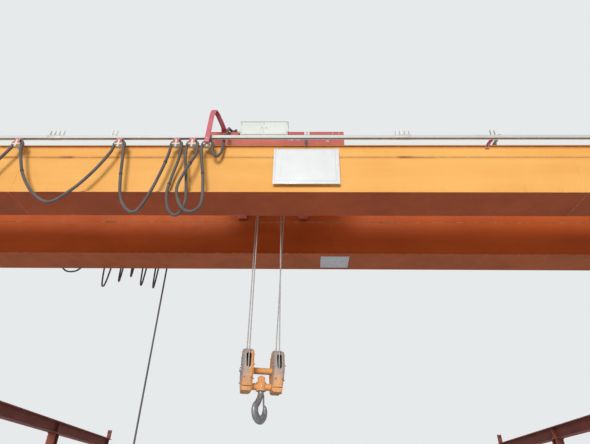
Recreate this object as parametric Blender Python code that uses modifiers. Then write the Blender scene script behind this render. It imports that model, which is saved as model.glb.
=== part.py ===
# An overhead travelling crane: two box girders on end carriages, a crab with a rope hoist and
# a two-sheave hook block, cable festoons, and the raised runway it rolls on.
# Metres. X runs along the bridge, Y along the runway, Z is up from the floor.

import math

import bmesh
import bpy
from mathutils import Matrix, Vector

# Clearances
GAP = 0.0003
OVERLAP = 0.002

# Facets round the turned pieces, in fours, so that a wheel rests on its rail at a corner
WHEEL_STEPS = 20
CRAB_WHEEL_STEPS = 16
DRUM_STEPS = 20
SHEAVE_STEPS = 24

# Runway
SPAN = 19.0
BAY = 5.4
BAYS = 4
RAIL_TOP = 4.25
RUNWAY_RAIL_HEIGHT = 0.05
RUNWAY_RAIL_WIDTH = 0.06
RUNWAY_BEAM_DEPTH = 0.39
RUNWAY_BEAM_WIDTH = 0.30
RUNWAY_FLANGE = 0.019
RUNWAY_WEB = 0.011
END_STOP_HEIGHT = 0.40
END_STOP_LENGTH = 0.12
END_STOP_WIDTH = 0.16
COLUMN_DEPTH = 0.29
COLUMN_WIDTH = 0.30
COLUMN_FLANGE = 0.014
COLUMN_WEB = 0.009
CAP_PLATE = 0.34
CAP_THICKNESS = 0.020
BASE_PLATE = 0.46
BASE_THICKNESS = 0.025
FIRST_COLUMN_INSET = 0.25
RIB_THICKNESS = 0.012
RIB_INSET = 0.020

# Bridge
BRIDGE_FROM_END = 2.70
WHEEL_BASE = 2.70
BRIDGE_WHEEL_RADIUS = 0.125
BRIDGE_WHEEL_TREAD = 0.070
WHEEL_FLANGE_HEIGHT = 0.018
WHEEL_FLANGE_WIDTH = 0.015
BRIDGE_AXLE_RADIUS = 0.030
BEARING_COVER_RADIUS = 0.045
BEARING_COVER_DEPTH = 0.018
COVER_RISE = 0.005
POCKET_CLEARANCE = 0.010
POCKET_HALF_WIDTH = 0.060
POCKET_DEPTH = 0.050
CARRIAGE_WIDTH = 0.22
CARRIAGE_HEIGHT = 0.35
CARRIAGE_OVERHANG = 0.25
CARRIAGE_BOTTOM = 4.33
CARRIAGE_WALL = 0.010
BUFFER_RADIUS = 0.05
BUFFER_LENGTH = 0.09
GIRDER_UNDERSIDE = 4.55
GIRDER_DEPTH = 0.70
GIRDER_WIDTH = 0.48
GIRDER_FLANGE = 0.012
GIRDER_WEB = 0.008
FLANGE_OVERHANG = 0.025
STRAKE_DEPTH = 0.155
STRAKE_PROUD = 0.004
END_SEAT = 0.45
END_TAPER = 0.55
CRAB_GAUGE = 1.44
CRAB_RAIL = 0.040
CRAB_RAIL_LENGTH = 18.0
CRAB_STOP_HEIGHT = 0.15
CRAB_STOP_LENGTH = 0.10
DRIVE_RADIUS = 0.075
DRIVE_LENGTH = 0.29
DRIVE_CASE_LENGTH = 0.22
DRIVE_CASE_HEIGHT = 0.24
DRIVE_CASE_DEPTH = 0.13
DRIVE_CASE_CORNER = 0.045
DRIVE_SHIFT = 0.18
DRIVE_RISE = 0.08
DRIVE_MOTOR_RISE = 0.10
COWL_LENGTH = 0.07
COWL_PROUD = 0.006
TERMINAL_BOX = 0.09
TERMINAL_HEIGHT = 0.045

# Crab
CRAB_X = -0.45
CRAB_LEFT = -1.20
CRAB_RIGHT = 0.51
CRAB_WHEEL_BASE = 0.89
CRAB_WHEEL_RADIUS = 0.100
CRAB_BEAM_WIDTH = 0.14
CRAB_BEAM_BOTTOM = 5.37
CRAB_BEAM_TOP = 5.63
CRAB_BEAM_WALL = 0.010
CROSS_BEAM_WIDTH = 0.12
CROSS_BEAM_DEPTH = 0.16
CROSS_BEAM_INSET = 0.10
CRAB_WHEEL_TREAD = 0.052
CRAB_FLANGE_HEIGHT = 0.014
CRAB_FLANGE_WIDTH = 0.012
CRAB_AXLE_RADIUS = 0.024
CRAB_BUFFER_Z = CRAB_BEAM_BOTTOM + 0.03
CRAB_BUFFER_LENGTH = 0.055
CRAB_BUFFER_RADIUS = 0.028
BEARER_INSET = 0.11
BEARER_HALF = 0.04
BEARER_DEPTH = 0.12
BEARER_TOP = CRAB_BEAM_TOP - 0.003
LUG_CLEARANCE = 0.03
GUIDE_HALF = 0.07
GUIDE_THICKNESS = 0.012
GUIDE_BOTTOM = GIRDER_UNDERSIDE + GIRDER_DEPTH - 0.14
GUIDE_TOP = CRAB_BEAM_BOTTOM + 0.06
GUIDE_ARM_HALF = 0.06
GUIDE_ARM_DROP = 0.035
GUIDE_ARM_DEPTH = 0.03
PEDESTAL_OUT = 0.05
PEDESTAL_HALF = 0.02
PEDESTAL_FRONT = 0.12
PEDESTAL_BACK = 0.17
PEDESTAL_FOOT = 0.15
HANGER_ROOM = 0.025
HANGER_CHEEK_Y = 0.045
HANGER_HALF = 0.05
HANGER_PLATE = 0.006
HANGER_DEPTH = 0.035
HANGER_POST = 0.04
DRUM_RADIUS = 0.15
DRUM_LENGTH = 0.86
DRUM_Z = 5.86
DRUM_FLANGE = 0.03
DRUM_FLANGE_WIDTH = 0.012
DRUM_SHAFT = 0.035
DRUM_SHAFT_LENGTH = 0.065
DRUM_GROOVE_PITCH = 0.040
DRUM_GROOVE_DEPTH = 0.004
DRUM_GROOVE_FROM = 0.04
DRUM_GROOVE_TO = 0.20
EQUALISER_RADIUS = 0.14
EQUALISER_Z = 5.72
PANEL_WIDTH = 0.66
PANEL_HEIGHT = 0.35
PANEL_DEPTH = 0.25
PANEL_CENTRE_X = -0.53
PANEL_SHIFT = 0.02
CRAB_DRIVE_WIDTH = 0.23
CRAB_DRIVE_FROM = 0.16
CRAB_DRIVE_TO = 0.34
CRAB_DRIVE_HEIGHT = 0.16
CRAB_MOTOR_RISE = 0.085
CRAB_MOTOR_RADIUS = 0.065
CRAB_MOTOR_LENGTH = 0.25
PANEL_GLAND_Z = 0.06
PANEL_GLAND_LENGTH = 0.035
PANEL_GLAND_RADIUS = 0.028
GEARBOX_WIDTH = 0.16
GEARBOX_LENGTH = 0.62
GEARBOX_RISE = 0.16
GEARBOX_SHIFT = 0.14
GEARBOX_CORNER = 0.07
MOTOR_RADIUS = 0.11
MOTOR_LENGTH = 0.46
MOTOR_COWL_LAP = 0.02
MOTOR_BOX_SUNK = 0.005
MOTOR_BOX_X = 0.065
MOTOR_BOX_Y = 0.055
MOTOR_BOX_HEIGHT = 0.060
GEARBOX_FROM_DRUM = 0.085
GEARBOX_BOSS = 0.06
GEARBOX_BOSS_LENGTH = 0.012
MOTOR_COWL_LENGTH = 0.08
MOTOR_FROM_DRUM = 0.31
MOTOR_RISE = 0.02
CRAB_DRIVE_CLEARANCE = 0.075

# Rope and hook block
ROPE_RADIUS = 0.007
ROPE_SEAT = ROPE_RADIUS + GAP
BLOCK_TWIST = math.radians(12.0)
SHEAVE_Z = 2.83
SHEAVE_PITCH_RADIUS = 0.16
SHEAVE_OFFSET = 0.165
SHEAVE_WIDTH = 0.055
AXLE_RADIUS = 0.030
SHEAVE_BORE = AXLE_RADIUS + 0.0006
EQUALISER_RIM = 0.012
SHEAVE_RIM = 0.018
SHEAVE_ROOM = 0.006
HOUSING_WIDTH = 0.105
HOUSING_TOP = 3.08
HOUSING_RADIUS = 0.195
HOUSING_CROWN = 0.11
HOUSING_FOOT = 0.10
HOUSING_FLAT = 0.025
HOUSING_BELOW_TRUNNION = 0.065
SLOT_WIDTH = 0.055
SPACER_RADIUS = 0.035
TRUNNION_Z = 2.665
TRUNNION_RADIUS = 0.022
TRUNNION_GRIP = 0.017
CROSSHEAD_RADIUS = 0.053
CROSSHEAD_HALF_HEIGHT = 0.045
CROSSHEAD_SHOULDER = 0.036
SHANK_RADIUS = 0.024
NUT_RADIUS = 0.045
NUT_HEIGHT = 0.055
HOOK_TURN = math.radians(60.0)
HOOK_BOTTOM = 2.33
HOOK_BOWL_RADIUS = 0.062
HOOK_THICK = 0.036
LATCH_THICKNESS = 0.003
LATCH_WIDTH = 0.021
LUG_HALF = 0.006
LUG_RADIUS = 0.008

# Festoons
TRACK_SIZE = 0.040
TRACK_WALL = 0.003
TRACK_SLOT = 0.014
TRACK_TOP = 5.300
FESTOON_OFFSET = 0.10
FESTOON_END = 8.80
FESTOON_CABLE_RADIUS = 0.017
SADDLE_RADIUS = 0.045
SADDLE_WIDTH = 0.044
TROLLEYS = (-7.00, -5.20, -3.40, -2.18, -1.50, -1.31)
TOW_X = -1.13
ARM_REACH = 0.065
ARM_RADIUS = 0.022
FESTOON_LOOPS = [
    # Each loop's points: place along the bridge, height, and how far it swings aside
    [
        (-3.31, 5.02, 0),
        (-3.18, 4.72, 0),
        (-2.98, 4.46, 0),
        (-2.76, 4.34, 0),
        (-2.55, 4.52, 0),
        (-2.38, 4.78, 0),
        (-2.27, 5.02, 0),
    ],
    [
        (-2.10, 5.00, 0),
        (-2.06, 4.70, 0),
        (-2.00, 4.42, 0),
        (-1.90, 4.25, 0),
        (-1.79, 4.22, 0),
        (-1.69, 4.45, 0),
        (-1.61, 4.78, 0),
        (-1.57, 5.02, 0),
    ],
    [
        (-1.45, 4.98, 0.03),
        (-1.50, 4.74, 0.06),
        (-1.52, 4.50, 0.06),
        (-1.46, 4.27, 0.05),
        (-1.36, 4.20, 0.04),
        (-1.29, 4.34, 0.03),
        (-1.31, 4.60, 0.03),
        (-1.37, 4.98, 0.01),
    ],
    [
        (-1.25, 4.98, -0.02),
        (-1.32, 4.74, -0.05),
        (-1.38, 4.48, -0.05),
        (-1.30, 4.25, -0.05),
        (-1.19, 4.19, -0.04),
        (-1.10, 4.30, -0.02),
        (-1.12, 4.62, 0),
        (-1.18, 4.98, 0),
    ],
]
BRACKET_SPACING = 2.27
BRACKET_X0 = 0.03
BRACKETS = 7
BRACKET_REACH = 0.07
BRACKET_HALF = 0.02
BRACKET_THICKNESS = 0.008
BRACKET_FOOT = 0.03
CHEEK_HALF = 0.030
CHEEK_DROP = 0.02
CHEEK_THICKNESS = 0.006
LOOP_FULLNESS = 2.4
FESTOON_LOOP_DEPTH = 0.98
FESTOON_TAIL = [
    (-1.065, 0, 5.06), (-1.02, 0.02, 5.01), (-0.975, 0.05, 5.08), (-0.960, 0.056, 5.22),
    (-0.957, 0.062, 5.32), (-0.955, 0.14, 5.47), (-0.957, 0.21, 5.60), (-0.957, 0.24, 5.665),
    (-0.945, 0.30, 5.690), (-0.925, 0.32, 5.690), (-0.8955, 0.32, 5.690),
]
PENDANT_CARRIERS = (-3.94, -3.11, -2.84, -2.67, -2.51, -2.31, -2.13)
PENDANT_CABLE_RADIUS = 0.012
STATION_TOP = 1.30
STATION_HEIGHT = 0.30

# Derived places
RUNWAY_LENGTH = BAY * BAYS
RUNWAY_HALF = RUNWAY_LENGTH / 2
RAIL_X = SPAN / 2
RUNWAY_BEAM_TOP = RAIL_TOP - RUNWAY_RAIL_HEIGHT
RUNWAY_BEAM_BOTTOM = RUNWAY_BEAM_TOP - RUNWAY_BEAM_DEPTH
BRIDGE_Y = -RUNWAY_HALF + BRIDGE_FROM_END
CARRIAGE_TOP = CARRIAGE_BOTTOM + CARRIAGE_HEIGHT
GIRDER_TOP = GIRDER_UNDERSIDE + GIRDER_DEPTH
GIRDER_HALF = RAIL_X + CARRIAGE_WIDTH / 2
CRAB_RAIL_BOTTOM = GIRDER_TOP + GAP
CRAB_RAIL_TOP = CRAB_RAIL_BOTTOM + CRAB_RAIL
CARRIAGE_LENGTH = WHEEL_BASE + 2 * CARRIAGE_OVERHANG
FESTOON_Y = CRAB_GAUGE / 2 + GIRDER_WIDTH / 2 + FESTOON_OFFSET
DRUM_Y = SHEAVE_PITCH_RADIUS + DRUM_RADIUS + ROPE_RADIUS
EQUALISER_Y = -SHEAVE_PITCH_RADIUS
REAR_BEARER_Y = DRUM_Y + 0.203
CRAB_DRIVE_Y = -CRAB_GAUGE / 2 + PANEL_SHIFT + PANEL_DEPTH / 2 + CRAB_DRIVE_CLEARANCE
FRONT_BEARER_Y = CRAB_DRIVE_Y + 0.08
TRACK_BOTTOM = TRACK_TOP - TRACK_SIZE
SADDLE_Z = TRACK_BOTTOM - 0.099
SEAT_STEPS = 6
SEAT_ARC = (10, 170)
SEAT_CHORD = math.cos(math.radians((SEAT_ARC[1] - SEAT_ARC[0]) / SEAT_STEPS / 2))
U = Vector((math.cos(BLOCK_TWIST), math.sin(BLOCK_TWIST), 0))
V = Vector((-math.sin(BLOCK_TWIST), math.cos(BLOCK_TWIST), 0))

COLLECTION = bpy.data.collections.new("overhead_crane")
CUTTERS = bpy.data.collections.new("cutters and joined shapes")


# Materials


def finish(name, colour, roughness=0.5, metallic=0.0):
    material = bpy.data.materials.new(name)
    material.use_nodes = True
    shader = material.node_tree.nodes["Principled BSDF"]
    shader.inputs["Base Color"].default_value = (*colour, 1)
    shader.inputs["Roughness"].default_value = roughness
    shader.inputs["Metallic"].default_value = metallic
    return material


# Shapes


def add_object(name, mesh, material=None):
    made = bpy.data.objects.new(name, mesh)
    COLLECTION.objects.link(made)
    if material:
        mesh.materials.append(material)
    return made


def from_bmesh(name, shape, material=None, smooth=False):
    mesh = bpy.data.meshes.new(name)
    shape.to_mesh(mesh)
    shape.free()
    if smooth:
        mesh.shade_smooth()
        mesh.set_sharp_from_angle(angle=math.radians(35))
    return add_object(name, mesh, material)


def box(name, low, high, material=None):
    shape = bmesh.new()
    bmesh.ops.create_cube(shape, size=1)
    low, high = (Vector(map(pick, low, high)) for pick in (min, max))
    size = high - low
    bmesh.ops.scale(shape, vec=size, verts=shape.verts)
    bmesh.ops.translate(shape, vec=(low + high) / 2, verts=shape.verts)
    return from_bmesh(name, shape, material)


def rod(name, start, end, radius, sides=16, material=None, end_radius=None):
    start, end = Vector(start), Vector(end)
    along = end - start
    shape = bmesh.new()
    bmesh.ops.create_cone(
        shape,
        cap_ends=True,
        segments=sides,
        radius1=radius,
        radius2=radius if end_radius is None else end_radius,
        depth=along.length,
    )
    turn = along.to_track_quat("Z", "Y").to_matrix().to_4x4()
    bmesh.ops.transform(shape, matrix=Matrix.Translation((start + end) / 2) @ turn, verts=shape.verts)
    return from_bmesh(name, shape, material, smooth=True)


def frame_at(place, x_axis, y_axis):
    """The matrix of a frame at a place, with its Z axis at right angles to the two given."""
    x, y = Vector(x_axis).normalized(), Vector(y_axis).normalized()
    z = x.cross(y)
    turn = Matrix((x, y, z)).transposed().to_4x4()
    return Matrix.Translation(place) @ turn


def plate(name, outline, thickness, place, x_axis, y_axis, material=None):
    """A flat outline in the frame of x_axis and y_axis, extruded, centred on its thickness."""
    shape = bmesh.new()
    face = shape.faces.new([shape.verts.new((x, y, -thickness / 2)) for x, y in outline])
    raised = bmesh.ops.extrude_face_region(shape, geom=[face])
    top = [part for part in raised["geom"] if isinstance(part, bmesh.types.BMVert)]
    bmesh.ops.translate(shape, vec=(0, 0, thickness), verts=top)
    bmesh.ops.transform(shape, matrix=frame_at(place, x_axis, y_axis), verts=shape.verts)
    bmesh.ops.recalc_face_normals(shape, faces=shape.faces)
    return from_bmesh(name, shape, material)


def turned(name, profile, place, axis, steps=24, material=None, ring=False):
    """A profile of (radius, height) pairs, from top to bottom, turned about an axis through a place."""
    mesh = bpy.data.meshes.new(name)
    count = len(profile)
    edges = [(n, n + 1) for n in range(count - 1)] + ([(count - 1, 0)] if ring else [])
    mesh.from_pydata([(r, 0, h) for r, h in profile], edges, [])
    made = add_object(name, mesh, material)
    screw = made.modifiers.new("turn", "SCREW")
    screw.axis = "Z"
    screw.steps = screw.render_steps = steps
    screw.use_merge_vertices = True
    screw.merge_threshold = 0.00005
    screw.use_smooth_shade = False
    made.matrix_world = Matrix.Translation(place) @ Vector(axis).to_track_quat("Z", "Y").to_matrix().to_4x4()
    return made


def tube(name, points, radius, material=None, resolution=2):
    curve = bpy.data.curves.new(name, "CURVE")
    curve.dimensions = "3D"
    curve.bevel_depth = radius
    curve.bevel_resolution = resolution
    curve.use_fill_caps = True
    spline = curve.splines.new("POLY")
    spline.points.add(len(points) - 1)
    for point, place in zip(spline.points, points):
        point.co = (*place, 1)
    made = bpy.data.objects.new(name, curve)
    COLLECTION.objects.link(made)
    if material:
        curve.materials.append(material)
    return made


def solid_tube(name, points, radius, material=None, resolution=2):
    """A tube as a closed mesh, which a Boolean can join or cut."""
    guide = tube(name + " guide", points, radius, None, resolution)
    mesh = bpy.data.meshes.new_from_object(guide.evaluated_get(bpy.context.evaluated_depsgraph_get()))
    bpy.data.objects.remove(guide)
    shape = bmesh.new()
    shape.from_mesh(mesh)
    bmesh.ops.remove_doubles(shape, verts=shape.verts, dist=0.00005)
    bmesh.ops.recalc_face_normals(shape, faces=shape.faces)
    bpy.data.meshes.remove(mesh)
    return from_bmesh(name, shape, material, smooth=True)


def combine(target, others, operation):
    for other in others:
        COLLECTION.objects.unlink(other)
        CUTTERS.objects.link(other)
        other.hide_render = True
        other.display_type = "WIRE"
        change = target.modifiers.new(other.name, "BOOLEAN")
        change.operation = operation
        change.object = other
        change.solver = "EXACT"
    return target


def join(target, *others):
    return combine(target, others, "UNION")


def cut(target, *others):
    return combine(target, others, "DIFFERENCE")


def smooth_route(route, spacing):
    """Points along a smooth curve through the route's own points, about one spacing apart."""
    route = [Vector(p) for p in route]
    ends = [2 * route[0] - route[1], *route, 2 * route[-1] - route[-2]]
    points = []
    for a, b, c, d in zip(ends, ends[1:], ends[2:], ends[3:]):
        count = max(1, round((c - b).length / spacing))
        for n in range(count):
            t = n / count
            points.append(
                0.5 * (
                    2 * b + (c - a) * t + (2 * a - 5 * b + 4 * c - d) * t**2 + (3 * b - a - 3 * c + d) * t**3
                )
            )
    return [*points, route[-1]]


def arc(centre, radius, x_axis, y_axis, start, end, count):
    """Points on an arc, from angle start to angle end in degrees, in the plane of two axes."""
    centre, x_axis, y_axis = Vector(centre), Vector(x_axis), Vector(y_axis)
    angles = [math.radians(start + (end - start) * n / count) for n in range(count + 1)]
    return [centre + radius * (math.cos(a) * x_axis + math.sin(a) * y_axis) for a in angles]


def i_section(depth, width, flange, web):
    """The outline of an I section, centred, with its depth along the second axis."""
    b, h, w, f = width / 2, depth / 2, web / 2, flange
    return [
        (-b, -h), (b, -h), (b, f - h), (w, f - h), (w, h - f), (b, h - f),
        (b, h), (-b, h), (-b, h - f), (-w, h - f), (-w, f - h), (-b, f - h),
    ]


def chamfered(width, height, corner):
    """A centred rectangle's outline with its four corners cut off."""
    b, h = width / 2, height / 2
    return [
        (corner - b, -h), (b - corner, -h), (b, corner - h), (b, h - corner),
        (b - corner, h), (corner - b, h), (-b, h - corner), (-b, corner - h),
    ]


def at_corners(name, place, below, above, material=None):
    """A box about a place, reaching below it and above it by the given amounts on each axis."""
    return box(name, Vector(place) - Vector(below), Vector(place) + Vector(above), material)


X, Y, Z = Vector((1, 0, 0)), Vector((0, 1, 0)), Vector((0, 0, 1))


# Runway


def build_runway(red, steel):
    beam_middle = (RUNWAY_BEAM_TOP + RUNWAY_BEAM_BOTTOM) / 2
    section = i_section(RUNWAY_BEAM_DEPTH, RUNWAY_BEAM_WIDTH, RUNWAY_FLANGE, RUNWAY_WEB)
    for side, side_name in ((-1, "left"), (1, "right")):
        x = side * RAIL_X
        beam = plate(f"runway_beam_{side_name}", section, RUNWAY_LENGTH, (x, 0, beam_middle), X, Z, red)
        rail_low = (x - RUNWAY_RAIL_WIDTH / 2, -RUNWAY_HALF + OVERLAP, RUNWAY_BEAM_TOP - OVERLAP)
        rail_high = (x + RUNWAY_RAIL_WIDTH / 2, RUNWAY_HALF - OVERLAP, RAIL_TOP)
        pieces = [box(f"runway rail {side_name}", rail_low, rail_high)]
        for end in (-1, 1):
            outer, inner = end * (RUNWAY_HALF - OVERLAP * 2), end * (RUNWAY_HALF - END_STOP_LENGTH)
            low = (x - END_STOP_WIDTH / 2, min(outer, inner), RUNWAY_BEAM_TOP - OVERLAP)
            high = (x + END_STOP_WIDTH / 2, max(outer, inner), RUNWAY_BEAM_TOP + END_STOP_HEIGHT)
            pieces.append(box(f"end stop {side_name} {end}", low, high))
        places = [-RUNWAY_HALF + BAY * number for number in range(BAYS + 1)]
        places[0] += FIRST_COLUMN_INSET
        places[-1] -= FIRST_COLUMN_INSET
        for number, y in enumerate(places):
            build_column(f"column_{side_name}_{number + 1}", x, y, red)
            rib_half = RUNWAY_BEAM_WIDTH / 2 - RIB_INSET
            for face in (-1, 1):
                near, far = x + face * (RUNWAY_WEB / 2 - OVERLAP), x + face * rib_half
                rib_low = (near, y - RIB_THICKNESS / 2, RUNWAY_BEAM_BOTTOM + RUNWAY_FLANGE - OVERLAP)
                rib_high = (far, y + RIB_THICKNESS / 2, RUNWAY_BEAM_TOP - RUNWAY_FLANGE + OVERLAP)
                pieces.append(box(f"runway rib {side_name} {number} {face}", rib_low, rib_high))
        join(beam, *pieces)


def build_column(name, x, y, red):
    top = RUNWAY_BEAM_BOTTOM - GAP
    section = i_section(COLUMN_DEPTH, COLUMN_WIDTH, COLUMN_FLANGE, COLUMN_WEB)
    low, high = BASE_THICKNESS - OVERLAP, top - CAP_THICKNESS + OVERLAP
    shaft = plate(name, section, high - low, (x, y, (low + high) / 2), X, Y, red)
    base = box(
        name + " base",
        (x - BASE_PLATE / 2, y - BASE_PLATE / 2, 0),
        (x + BASE_PLATE / 2, y + BASE_PLATE / 2, BASE_THICKNESS),
    )
    cap = box(
        name + " cap",
        (x - CAP_PLATE / 2, y - CAP_PLATE / 2, top - CAP_THICKNESS),
        (x + CAP_PLATE / 2, y + CAP_PLATE / 2, top),
    )
    join(shaft, base, cap)


# Bridge


def side_outline(end_inset, bottom_rise, top_drop):
    """The girder's side view, with its tapered ends, drawn in by the given amounts."""
    seat = CARRIAGE_TOP + GAP + bottom_rise
    low, high = GIRDER_UNDERSIDE + bottom_rise, GIRDER_TOP - top_drop
    half = GIRDER_HALF - end_inset
    knee, foot = GIRDER_HALF - END_SEAT, GIRDER_HALF - END_SEAT - END_TAPER
    return [
        (-half, seat), (-knee, seat), (-foot, low), (foot, low),
        (knee, seat), (half, seat), (half, high), (-half, high),
    ]


def build_girder(name, y, orange):
    web_half = GIRDER_WIDTH / 2 - FLANGE_OVERHANG
    middle = (0, y, 0)
    half_flange = GIRDER_FLANGE / 2
    webs = plate(name, side_outline(OVERLAP, half_flange, half_flange), 2 * web_half, middle, X, Z, orange)
    hollow = plate(
        name + " hollow",
        side_outline(GIRDER_FLANGE, GIRDER_FLANGE + 0.001, GIRDER_FLANGE + 0.001),
        2 * (web_half - GIRDER_WEB), middle, X, Z,
    )
    outline = side_outline(0, 0, 0)
    bottom_path = outline[:6]
    bottom_flange = plate(
        name + " bottom flange",
        bottom_path + [(px, pz + GIRDER_FLANGE) for px, pz in reversed(bottom_path)],
        GIRDER_WIDTH, middle, X, Z,
    )
    top_flange = box(
        name + " top flange",
        (-GIRDER_HALF, y - GIRDER_WIDTH / 2, GIRDER_TOP - GIRDER_FLANGE),
        (GIRDER_HALF, y + GIRDER_WIDTH / 2, GIRDER_TOP),
    )
    cut(webs, hollow)
    hand_hole = (CARRIAGE_TOP + GIRDER_TOP) / 2
    for end in (-1, 1):
        x = end * GIRDER_HALF
        cut(webs, rod(f"{name} hand hole {end}", (x - 0.03, y, hand_hole), (x + 0.03, y, hand_hole), 0.07))
    strakes = []
    for side in (-1, 1):
        inner, outer = side * (web_half - OVERLAP), side * (web_half + STRAKE_PROUD)
        strakes.append(
            box(
                f"{name} strake {side}",
                (2 * OVERLAP - GIRDER_HALF, y + min(inner, outer), GIRDER_TOP - GIRDER_FLANGE - STRAKE_DEPTH),
                (GIRDER_HALF - 2 * OVERLAP, y + max(inner, outer), GIRDER_TOP - GIRDER_FLANGE + OVERLAP),
            )
        )
    join(webs, bottom_flange, top_flange, *strakes)


def build_crab_rail(name, y, steel):
    half = CRAB_RAIL_LENGTH / 2
    rail = box(
        name, (-half, y - CRAB_RAIL / 2, CRAB_RAIL_BOTTOM), (half, y + CRAB_RAIL / 2, CRAB_RAIL_TOP), steel
    )
    stops = []
    for end in (-1, 1):
        outer, inner = end * (half - OVERLAP), end * (half - CRAB_STOP_LENGTH)
        stops.append(
            box(
                f"{name} stop {end}",
                (min(outer, inner), y - 0.05, CRAB_RAIL_BOTTOM + OVERLAP),
                (max(outer, inner), y + 0.05, CRAB_RAIL_TOP + CRAB_STOP_HEIGHT),
            )
        )
    join(rail, *stops)


def flanged_wheel(
    name, place, axis, radius, tread, flange_height, flange_width, axle_radius, axle_half, steel
):
    """A wheel and its axle as one turning piece, with its axis along the given direction."""
    half, side = tread / 2, tread / 2 + flange_width
    right = [(axle_radius, side), (axle_radius, axle_half), (0, axle_half)]
    left = [(0, -axle_half), (axle_radius, -axle_half), (axle_radius, -side)]
    rim_right = [(radius, half), (radius + flange_height, half), (radius + flange_height, side)]
    rim_left = [(radius + flange_height, -side), (radius + flange_height, -half), (radius, -half)]
    profile = left + rim_left + rim_right + right
    return turned(name, profile[::-1], place, axis, WHEEL_STEPS, steel)


def build_end_carriage(side, side_name, orange, steel, grey):
    x = side * RAIL_X
    half_width, half_length = CARRIAGE_WIDTH / 2, CARRIAGE_LENGTH / 2
    low, high = (x - half_width, BRIDGE_Y - half_length, CARRIAGE_BOTTOM), (
        x + half_width, BRIDGE_Y + half_length, CARRIAGE_TOP
    )
    carriage = box(f"end_carriage_{side_name}", low, high, orange)
    wall = Vector((CARRIAGE_WALL,) * 3)
    pieces, cutters = [], [box(f"carriage hollow {side_name}", Vector(low) + wall, Vector(high) - wall)]
    wheel_z = RAIL_TOP + GAP + BRIDGE_WHEEL_RADIUS
    pocket = BRIDGE_WHEEL_RADIUS + WHEEL_FLANGE_HEIGHT + POCKET_CLEARANCE
    for end, end_name in ((-1, "front"), (1, "rear")):
        wheel_y = BRIDGE_Y + end * WHEEL_BASE / 2
        cover_z = wheel_z + COVER_RISE
        cutters.append(
            box(
                f"wheel pocket {side_name} {end_name}",
                (x - POCKET_HALF_WIDTH, wheel_y - pocket, CARRIAGE_BOTTOM - CARRIAGE_WALL),
                (x + POCKET_HALF_WIDTH, wheel_y + pocket, CARRIAGE_BOTTOM + POCKET_DEPTH),
            )
        )
        axle_half = half_width - CARRIAGE_WALL - GAP
        flanged_wheel(
            f"bridge_wheel_{side_name}_{end_name}", (
                x, wheel_y, wheel_z
            ), X, BRIDGE_WHEEL_RADIUS, BRIDGE_WHEEL_TREAD,
            WHEEL_FLANGE_HEIGHT, WHEEL_FLANGE_WIDTH, BRIDGE_AXLE_RADIUS, axle_half, steel,
        )
        for face in (-1, 1):
            start = (x + face * (half_width - OVERLAP), wheel_y, cover_z)
            end_at = (x + face * (half_width + BEARING_COVER_DEPTH), wheel_y, cover_z)
            pieces.append(
                rod(f"bearing cover {side_name} {end_name} {face}", start, end_at, BEARING_COVER_RADIUS, 16)
            )
        end_y = BRIDGE_Y + end * half_length
        buffer_z = CARRIAGE_BOTTOM + CARRIAGE_HEIGHT / 2
        buffer_from, buffer_to = (x, end_y - end * OVERLAP, buffer_z), (
            x, end_y + end * BUFFER_LENGTH, buffer_z
        )
        pieces.append(rod(f"buffer {side_name} {end_name}", buffer_from, buffer_to, BUFFER_RADIUS, 20))
    cut(carriage, *cutters)
    join(carriage, *pieces)

    drive_y = BRIDGE_Y - WHEEL_BASE / 2
    face_x = x - side * (half_width + GAP)
    middle = (face_x - side * DRIVE_CASE_DEPTH / 2, drive_y + DRIVE_SHIFT, wheel_z + DRIVE_RISE)
    outline = chamfered(DRIVE_CASE_LENGTH, DRIVE_CASE_HEIGHT, DRIVE_CASE_CORNER)
    gearbox = plate(f"travel_drive_{side_name}", outline, DRIVE_CASE_DEPTH, middle, Y, Z, grey)
    start = Vector((face_x - side * (DRIVE_CASE_DEPTH - OVERLAP), middle[1], wheel_z + DRIVE_MOTOR_RISE))
    motor_end = start - side * DRIVE_LENGTH * X
    motor = rod(f"travel motor {side_name}", start, motor_end, DRIVE_RADIUS, 20)
    cowl = rod(
        f"travel cowl {side_name}",
        motor_end + side * COWL_LENGTH * X,
        motor_end - side * OVERLAP * X,
        DRIVE_RADIUS + COWL_PROUD,
        20,
    )
    terminals = at_corners(
        f"travel terminals {side_name}", start - side * DRIVE_LENGTH * 0.45 * X + (
            DRIVE_RADIUS - OVERLAP
        ) * Z,
        (TERMINAL_BOX / 2, TERMINAL_BOX / 2, 0), (TERMINAL_BOX / 2, TERMINAL_BOX / 2, TERMINAL_HEIGHT),
    )
    join(gearbox, motor, cowl, terminals)


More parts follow.
